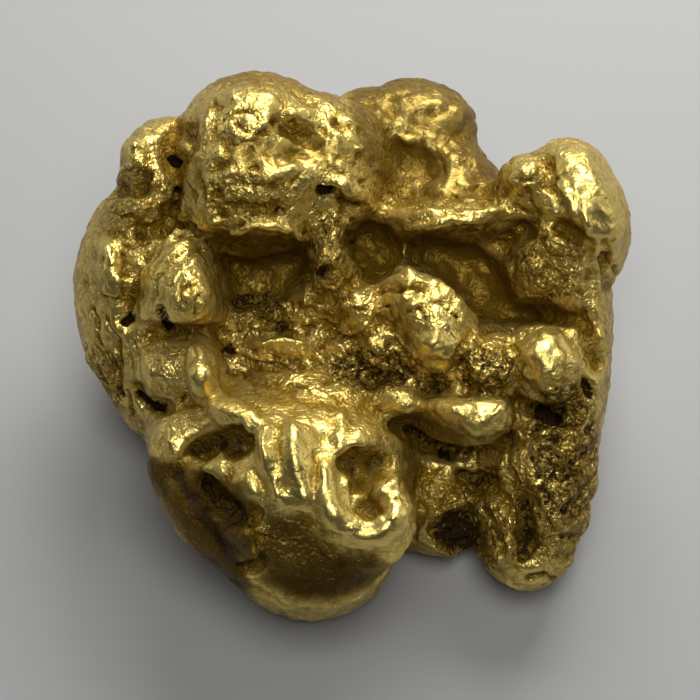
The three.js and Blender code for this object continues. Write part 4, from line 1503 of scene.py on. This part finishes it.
    def pillow(
        self, tree: bpy.types.NodeTree, place: bpy.types.Node, size: float, width: float
    ) -> bpy.types.NodeSocket:
        """A net of winding creases with rounded metal between them.

        Args:
            tree: the material's nodes.
            place: the texture coordinates.
            size: the size of one rounded piece, in millimetres.
            width: how much of the noise's range each crease takes.

        Returns:
            0 along a crease, 1 away from it.
        """
        waves = self.noise(tree, place, size, self.net_layers)
        waves = self.math(tree, "SUBTRACT", waves, NOISE_MIDDLE)
        waves = self.math(tree, "DIVIDE", waves, width)
        return self.math(tree, "MINIMUM", self.math(tree, "ABSOLUTE", waves), 1.0)

    @staticmethod
    def attribute(tree: bpy.types.NodeTree, name: str) -> bpy.types.NodeSocket:
        """The value that the mesh carries under a name."""
        node = tree.nodes.new("ShaderNodeAttribute")
        node.attribute_name = name
        return node.outputs["Fac"]

    @staticmethod
    def noise(
        tree: bpy.types.NodeTree, place: bpy.types.Node, size: float, detail: float
    ) -> bpy.types.NodeSocket:
        """A noise over the object's own place.

        Args:
            tree: the material's nodes.
            place: the texture coordinates.
            size: the size of one patch, in millimetres.
            detail: how many finer layers it has.

        Returns:
            The noise's value.
        """
        node = tree.nodes.new("ShaderNodeTexNoise")
        node.inputs["Scale"].default_value = 1 / (size * MM)
        node.inputs["Detail"].default_value = detail
        tree.links.new(place.outputs["Object"], node.inputs["Vector"])
        return node.outputs["Fac"]

    @staticmethod
    def math(
        tree: bpy.types.NodeTree,
        operation: str,
        *values: "bpy.types.NodeSocket | float",
        clamp: bool = False,
    ) -> bpy.types.NodeSocket:
        """A sum on sockets and numbers.

        Args:
            tree: the material's nodes.
            operation: the math node's operation.
            values: its inputs in order, each a socket or a number.
            clamp: whether the answer is kept from 0 to 1.

        Returns:
            The answer.
        """
        node = tree.nodes.new("ShaderNodeMath")
        node.operation = operation
        node.use_clamp = clamp
        for slot, value in zip(node.inputs, values):
            if isinstance(value, (int, float)):
                slot.default_value = value
            else:
                tree.links.new(value, slot)
        return node.outputs[0]

    @staticmethod
    def mix(
        tree: bpy.types.NodeTree,
        share: bpy.types.NodeSocket,
        first: "bpy.types.NodeSocket | tuple[float, float, float, float]",
        second: "bpy.types.NodeSocket | tuple[float, float, float, float]",
    ) -> bpy.types.NodeSocket:
        """A blend of two colours.

        Args:
            tree: the material's nodes.
            share: how much of the second there is.
            first: a colour, or a socket with one.
            second: a colour, or a socket with one.

        Returns:
            The blended colour.
        """
        node = tree.nodes.new("ShaderNodeMix")
        node.data_type = "RGBA"
        tree.links.new(share, node.inputs["Factor"])
        for slot, colour in ((node.inputs[6], first), (node.inputs[7], second)):
            if isinstance(colour, tuple):
                slot.default_value = colour
            else:
                tree.links.new(colour, slot)
        return node.outputs[2]

    @staticmethod
    def bump(
        tree: bpy.types.NodeTree,
        height: bpy.types.NodeSocket,
        distance: float,
        under: bpy.types.NodeSocket | None = None,
    ) -> bpy.types.NodeSocket:
        """A small relief that only the light sees.

        Args:
            tree: the material's nodes.
            height: the relief, from 0 to 1.
            distance: its full height, in millimetres.
            under: a relief that this one lies on.

        Returns:
            The tipped normal.
        """
        node = tree.nodes.new("ShaderNodeBump")
        node.inputs["Distance"].default_value = distance * MM
        tree.links.new(height, node.inputs["Height"])
        if under is not None:
            tree.links.new(under, node.inputs["Normal"])
        return node.outputs["Normal"]


def sandy_patch() -> Patch:
    """Where the metal is grainy: the bowl's right half, the saddle and the right foot's face."""
    return Patch(
        (
            ((0.5, -0.4), (1.1, 0.55), 0.0),
            ((2.9, -0.4), (0.75, 0.6), 0.0),
            ((4.6, -2.2), (0.8, 1.8), 0.0),
            ((1.8, -0.7), (0.45, 0.3), 0.0),
            ((2.3, -3.9), (0.6, 0.6), 0.0),
            ((-2.0, 1.0), (0.7, 0.25), 0.0),
        )
    )


def polished_patch() -> Patch:
    """Where the metal is worn smooth: the lower lobe, the neck, the thumb, the bulb and the knobs' tops."""
    return Patch(
        (
            ((-1.2, -2.4), (1.0, 1.3), 0.0),
            ((0.4, -3.4), (1.1, 1.0), 0.0),
            ((-3.0, -0.8), (0.6, 1.0), 20.0),
            ((-1.7, 2.7), (0.8, 0.2), 0.0),
            ((1.8, 0.0), (0.5, 0.6), 0.0),
            ((4.3, -0.3), (0.6, 0.9), 0.0),
            ((5.1, 3.0), (0.8, 1.3), 15.0),
            ((3.0, -1.3), (0.5, 0.3), 0.0),
            ((-0.9, 4.25), (1.4, 0.35), 0.0),
            ((1.5, 5.0), (1.2, 0.8), 0.0),
            ((2.0, 3.6), (1.0, 0.4), 0.0),
        )
    )


def amber_patch() -> Patch:
    """Where the metal is painted deep orange, as shade and the gold's own reflections, but clean and smooth:
    the floors of the hollows that face up.
    """
    return Patch(
        (
            ((-1.75, 1.85), (0.75, 0.45), 0.0),
            ((2.4, 1.75), (1.2, 0.5), -33.0),
            ((3.9, 0.75), (0.9, 0.2), 0.0),
            ((0.5, 2.1), (0.4, 0.45), 0.0),
            ((1.4, 4.15), (0.6, 0.35), -20.0),
        )
    )


def folded_patch() -> Patch:
    """Where the metal keeps its first folds: everywhere but the lower lobe and the neck above it."""
    return Patch(
        (
            ((0.6, 2.6), (5.4, 3.2), 0.0),
            ((3.9, -2.2), (1.7, 3.0), 0.0),
        )
    )


def crinkled_patch() -> Patch:
    """Where the metal is crumpled: the dome's front, the left side, the bowl and the right's inner faces."""
    return Patch(
        (
            ((-2.2, 3.3), (1.1, 0.6), 0.0),
            ((-4.5, 3.1), (0.8, 1.0), 0.0),
            ((-5.3, -0.7), (0.5, 0.9), 0.0),
            ((-1.9, 0.8), (0.8, 0.5), 0.0),
            ((4.3, 1.8), (0.8, 0.9), 0.0),
            ((-0.4, 1.8), (0.7, 1.3), 0.0),
            ((4.4, -2.8), (1.0, 2.0), 0.0),
            ((3.0, -3.6), (1.3, 1.2), 0.0),
        )
    )


@dataclass(frozen=True)
class WeatheringAndShade:
    """How the metal's shape tells in its finish, as wear and as painted shade: depths in millimetres, and
    shares from 0 to 1.
    """

    shallow_passes: int = 8
    middle_passes: int = 30
    deep_passes: int = 120
    shallow_depth: float = 0.06
    middle_depth: float = 0.15
    deep_depth: float = 0.4
    # Painted shade: how much the hollows and the sides turned away darken.
    hollow_share: float = 0.65
    side_share: float = 0.4
    side_start: float = 0.8
    side_span: float = 0.6
    pit_depth: float = 0.25
    crease_shade_depth: float = 0.16
    shade_and_stain_fill_start: float = 0.35
    earthy_sand: float = 0.14
    worn_share: float = 0.45
    worn_depth: float = 0.12
    worn_least: float = 0.15
    worn_most: float = 0.75
    polish: float = 0.6
    sandy_crumple: float = 0.95
    crinkled_crumple: float = 0.8
    amber_hollow: float = 0.9
    amber_smooth: float = 0.6
    amber_clean: float = 0.8
    amber_painted_shade: float = 0.35


@dataclass
class Nugget:
    """The whole nugget: its regions, the skins they are shaped in, how it weathers and where shade is painted
    on it, and its finish.
    """

    lie: Lie
    finish: GoldFinish = field(default_factory=GoldFinish)
    weathering_and_shade: WeatheringAndShade = field(default_factory=WeatheringAndShade)
    regions: tuple[Region, ...] = field(
        default_factory=lambda: (
            core(), dome(), left_flank(), bowl(), right_side(), lower_lobe(), right_foot()
        )
    )
    mass_skin: float = 0.15
    mass_passes: int = 8
    rubbed_off: float = 0.1
    hollow_skin: float = 0.12
    hollow_passes: int = 5
    knob_skin: float = 0.10
    knob_passes: int = 3
    form_skin: float = 0.07
    detail_skin: float = 0.056
    wander: float = 0.07
    triangles: int = 195_000
    thinning_bias: float = 0.0005
    least_thinning: float = 0.15
    form_height: float = 0.6
    detail_height: float = 0.15
    textures: tuple[Texture, ...] = field(
        default_factory=lambda: (
            Texture("swells", Relief.SWELLS, 0.8, 0.2),
            Texture("ripples", Relief.SWELLS, 0.28, 0.1),
            Texture("folds", Relief.CRINKLES, 0.4, -0.045, folded_patch()),
            Texture("crinkles", Relief.CRINKLES, 0.5, -0.09, crinkled_patch()),
            Texture("sand", Relief.SAND, 0.15, -0.05, sandy_patch()),
        )
    )

    def all_of(self, kind: str) -> tuple:
        """Everything of one kind, such as masses, from every region in order."""
        return tuple(piece for region in self.regions for piece in getattr(region, kind))

    def build(self) -> bpy.types.Object:
        """Shapes the nugget, dresses it and lays it on the table.

        Returns:
            The finished object.
        """
        clay = Clay(self.lie)
        clay.put_on(self.all_of("masses"), self.mass_skin, self.mass_passes)
        clay.swell(self.rubbed_off)
        clay.scoop(self.all_of("hollows"), self.hollow_skin, self.hollow_passes)
        clay.put_on(self.all_of("knobs"), self.knob_skin, self.knob_passes)
        clay.build_up(self.all_of("pads"), self.wander)
        clay.reskin(clay.body, self.form_skin)
        clay.soften(2)
        clay.work(self.all_of("forms"), self.wander, self.form_height)
        clay.reskin(clay.body, self.detail_skin)
        clay.soften(1)
        clay.work(self.all_of("details"), self.wander, self.detail_height)
        clay.soften(1, 0.3)
        for texture in self.textures:
            self.emboss(clay, texture)
        clay.wear_flat()
        self.note_looks(clay)
        self.thin(clay)
        self.lay_down(clay)
        nugget = clay.body
        nugget.name = nugget.data.name = "nugget_metal"
        nugget.data.materials.clear()
        nugget.data.materials.append(self.finish.make())
        return nugget

    def cover_group(self, clay: Clay, name: str, cover: np.ndarray) -> bpy.types.VertexGroup:
        """Marks part of the body for a modifier.

        Args:
            clay: the body being shaped.
            name: the new vertex group's name.
            cover: the weight of each corner.

        Returns:
            The vertex group.
        """
        group = clay.body.vertex_groups.new(name=name)
        levels = np.round(cover * VERTEX_LEVELS).astype(int)
        for level in range(1, VERTEX_LEVELS + 1):
            group.add(np.flatnonzero(levels == level).tolist(), level / VERTEX_LEVELS, "REPLACE")
        return group

    def emboss(self, clay: Clay, texture: Texture) -> None:
        """Gives part of the body a small relief.

        Args:
            clay: the body being shaped.
            texture: the relief.
        """
        displace = clay.body.modifiers.new(texture.name, "DISPLACE")
        displace.texture = texture.make()
        displace.texture_coords = "LOCAL"
        displace.strength = texture.height
        displace.mid_level = 0.5
        if texture.patch is not EVERYWHERE:
            cover = texture.patch.cover(self.lie.seen(clay.corners()))
            displace.vertex_group = self.cover_group(clay, texture.name, cover).name
        clay.finish_modifier(clay.body, displace)

    def note_looks(self, clay: Clay) -> None:
        """Notes on the mesh how hollow, crumpled, dark-filled and shaded each corner is, for the finish.

        Shade is painted into its hollows, creases, recesses and onto the faces that see little light.

        Args:
            clay: the body being shaped.
        """
        how = self.weathering_and_shade
        mesh = clay.body.data
        corners, normals = clay.corners(), clay.normals()
        seen = self.lie.seen(corners)
        outward = facing(normals, below=0.3, span=0.5)
        # The sides turned away from the show face: painted shade in colour, and rougher.
        side = np.clip((how.side_start - normals[:, 2]) / how.side_span, 0, 1)
        shallow = hollowness(mesh, corners, normals, how.shallow_passes)
        middle = hollowness(mesh, corners, normals, how.middle_passes)
        deep = hollowness(mesh, corners, normals, how.deep_passes)
        pits = sum(
            np.where(stroke.profile is Profile.FLAT, -stroke.lift(seen), 0.0)
            for stroke in self.all_of("details")
        )
        pads = [(pad, (pad.lift(seen) / pad.rise) ** 2 * outward) for pad in self.all_of("pads")]
        # The pads' values: painted shade in recesses and on dim faces, and painted dark reflections.
        shade_and_stain = sum(pad.shade_and_stain * cover for pad, cover in pads)
        painted_shade = sum(pad.painted_shade * cover for pad, cover in pads)
        amber = amber_patch().cover(seen)
        sandy = sandy_patch().cover(seen)

        # Painted shade: darker by hollowness, by the pads and on the sides turned away; the floors of the
        # hollows that face up are painted deep orange.
        depth = deep / how.deep_depth + middle / how.middle_depth + shallow / how.shallow_depth
        hollow = how.hollow_share * np.clip(depth, 0, 1)
        hollow = np.maximum(hollow + shade_and_stain + how.side_share * side, how.amber_hollow * amber)
        self.write(clay, "hollow", np.clip(hollow, 0, 1))

        worn = np.clip(how.worn_share + middle / how.worn_depth, how.worn_least, how.worn_most)
        worn = worn * (1 - how.polish * polished_patch().cover(seen))
        crinkled = how.crinkled_crumple * crinkled_patch().cover(seen)
        crumpled = np.maximum(how.sandy_crumple * sandy, crinkled)
        crumpled = np.maximum(np.maximum(worn, crumpled * outward), how.side_share * side)
        self.write(clay, "crumpled", crumpled * (1 - how.amber_smooth * amber))

        # Nearly black: the pits, painted shade in shallow creases and strongly shaded recesses, and soil in
        # the sand.
        earth_and_shade = pits * outward / how.pit_depth + shallow / how.crease_shade_depth
        earth_and_shade = earth_and_shade + np.clip(shade_and_stain - how.shade_and_stain_fill_start, 0, 1) + how.earthy_sand * (sandy * outward)
        self.write(clay, "earth_and_shade", np.clip(earth_and_shade * (1 - how.amber_clean * amber), 0, 1))

        # Painted shade from the pads, and a little on the orange floors.
        self.write(clay, "painted_shade", np.clip(np.maximum(painted_shade, how.amber_painted_shade * amber), 0, 1))

    @staticmethod
    def write(clay: Clay, name: str, values: np.ndarray) -> None:
        """Stores one number a corner on the mesh, under a name."""
        layer = clay.body.data.attributes.new(name, "FLOAT", "POINT")
        layer.data.foreach_set("value", values.astype(np.float32))

    def thin(self, clay: Clay) -> None:
        """Brings the mesh under its limit, mostly where the show face is turned away.

        Args:
            clay: the body being shaped.
        """
        count = sum(len(face.vertices) - 2 for face in clay.body.data.polygons)
        if count <= self.triangles:
            return
        normals = clay.normals()
        away = self.least_thinning + (1 - self.least_thinning) * np.clip(-normals[:, 2], 0, 1)
        decimate = clay.body.modifiers.new("thin", "DECIMATE")
        decimate.ratio = self.triangles / count
        decimate.vertex_group = self.cover_group(clay, "away", away).name
        decimate.vertex_group_factor = self.thinning_bias
        clay.finish_modifier(clay.body, decimate)

    def lay_down(self, clay: Clay) -> None:
        """Turns the body to its lie on the table, in metres, with its place in its mesh.

        Args:
            clay: the body being shaped.
        """
        clay.body.data.transform(Matrix.Scale(MM, 4) @ self.lie.matrix())
        clay.body.data.update()
        clay.body.vertex_groups.clear()
        bpy.ops.object.select_all(action="DESELECT")
        clay.body.select_set(True)
        bpy.context.view_layer.objects.active = clay.body
        bpy.ops.object.shade_smooth()


def hollowness(
    mesh: bpy.types.Mesh, corners: np.ndarray, normals: np.ndarray, passes: int
) -> np.ndarray:
    """How far each corner lies under the surface as it would be if it were rubbed smooth.

    Args:
        mesh: the mesh that the corners are from.
        corners: their places.
        normals: their outward normals.
        passes: how many times to rub it over.

    Returns:
        The depth of each corner in millimetres, below 0 on ridges.
    """
    edges = np.empty(len(mesh.edges) * 2, dtype=int)
    mesh.edges.foreach_get("vertices", edges)
    first, second = edges.reshape(-1, 2).T
    both, other = np.concatenate((first, second)), np.concatenate((second, first))
    neighbours = np.maximum(np.bincount(both, minlength=len(corners)), 1)
    smooth = corners.copy()
    for _ in range(passes):
        for axis in range(3):
            total = np.bincount(both, weights=smooth[other, axis], minlength=len(corners))
            smooth[:, axis] = (smooth[:, axis] + total / neighbours) / 2
    return np.einsum("ij,ij->i", smooth - corners, normals)


@dataclass(frozen=True)
class Lamp:
    """A soft rectangular light: where it hangs and its sides, in millimetres, and its power in watts."""

    name: str
    place: Place
    size: Point
    power: float


@dataclass
class Studio:
    """The pale table, the soft lights and the camera."""

    lie: Lie
    lamps: tuple[Lamp, ...] = (
        Lamp("overhead", (5.0, -24.0, 90.0), (43.0, 43.0), 0.038),
        Lamp("window", (10.0, 37.0, 39.0), (38.0, 34.0), 0.034),
        Lamp("left wall", (-105.0, 50.0, 40.0), (80.0, 50.0), 0.014),
        Lamp("right wall", (110.0, 20.0, 40.0), (80.0, 50.0), 0.014),
    )
    room_light: float = 0.025
    table_side: float = 0.6
    table_colour: tuple[float, float, float, float] = (0.39, 0.39, 0.382, 1.0)
    table_roughness: float = 0.9
    table_specular: float = 0.1
    lens: float = 135.0
    sensor: float = 36.0

    def build(self) -> None:
        """Sets up the camera, the table and the lights."""
        self.add_camera()
        self.add_table()
        for lamp in self.lamps:
            self.add_light(lamp)
        self.add_world()

    def add_camera(self) -> None:
        """Adds the camera, looking straight down the show frame's w axis."""
        lens = bpy.data.cameras.new("camera")
        lens.lens = self.lens
        lens.sensor_width = self.sensor
        lens.clip_start = MM
        camera = bpy.data.objects.new("camera", lens)
        bpy.context.scene.collection.objects.link(camera)
        eye = self.lie.matrix() @ Vector((0, 0, self.lie.eye_plane + self.lie.eye_distance))
        camera.location = eye * MM
        camera.rotation_euler = (self.lie.lean, 0, 0)
        bpy.context.scene.camera = camera
        bpy.context.scene.view_settings.view_transform = "Standard"

    def add_table(self) -> None:
        """Adds the plain pale table top."""
        bpy.ops.object.select_all(action="DESELECT")
        bpy.ops.mesh.primitive_plane_add(size=self.table_side, location=(0, 0, 0))
        table = bpy.context.active_object
        table.name = "table"
        paper = bpy.data.materials.new("pale paper")
        paper.use_nodes = True
        shader = paper.node_tree.nodes["Principled BSDF"]
        shader.inputs["Base Color"].default_value = self.table_colour
        shader.inputs["Roughness"].default_value = self.table_roughness
        shader.inputs["Specular IOR Level"].default_value = self.table_specular
        table.data.materials.append(paper)

    @staticmethod
    def add_light(lamp: Lamp) -> None:
        """Adds a light, aimed at the nugget.

        Args:
            lamp: the light to add.
        """
        glow = bpy.data.lights.new(lamp.name, "AREA")
        glow.shape = "RECTANGLE"
        glow.size, glow.size_y = lamp.size[0] * MM, lamp.size[1] * MM
        glow.energy = lamp.power
        light = bpy.data.objects.new(lamp.name, glow)
        bpy.context.scene.collection.objects.link(light)
        light.location = Vector(lamp.place) * MM
        light.rotation_euler = (-Vector(lamp.place)).to_track_quat("-Z", "Y").to_euler()

    def add_world(self) -> None:
        """Fills the room with a dim even light."""
        world = bpy.data.worlds.new("room")
        world.use_nodes = True
        world.node_tree.nodes["Background"].inputs["Color"].default_value = (1, 1, 1, 1)
        world.node_tree.nodes["Background"].inputs["Strength"].default_value = self.room_light
        bpy.context.scene.world = world


def main() -> None:
    """Builds the studio and the nugget, and logs the nugget's corner and face counts."""
    logging.basicConfig(level=logging.INFO, format="%(message)s")
    lie = Lie()
    Studio(lie).build()
    nugget = Nugget(lie).build()
    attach(nugget, "root")
    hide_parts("nugget")
    log.info("nugget: %d corners, %d faces", len(nugget.data.vertices), len(nugget.data.polygons))


if __name__ == "__main__":
    main()
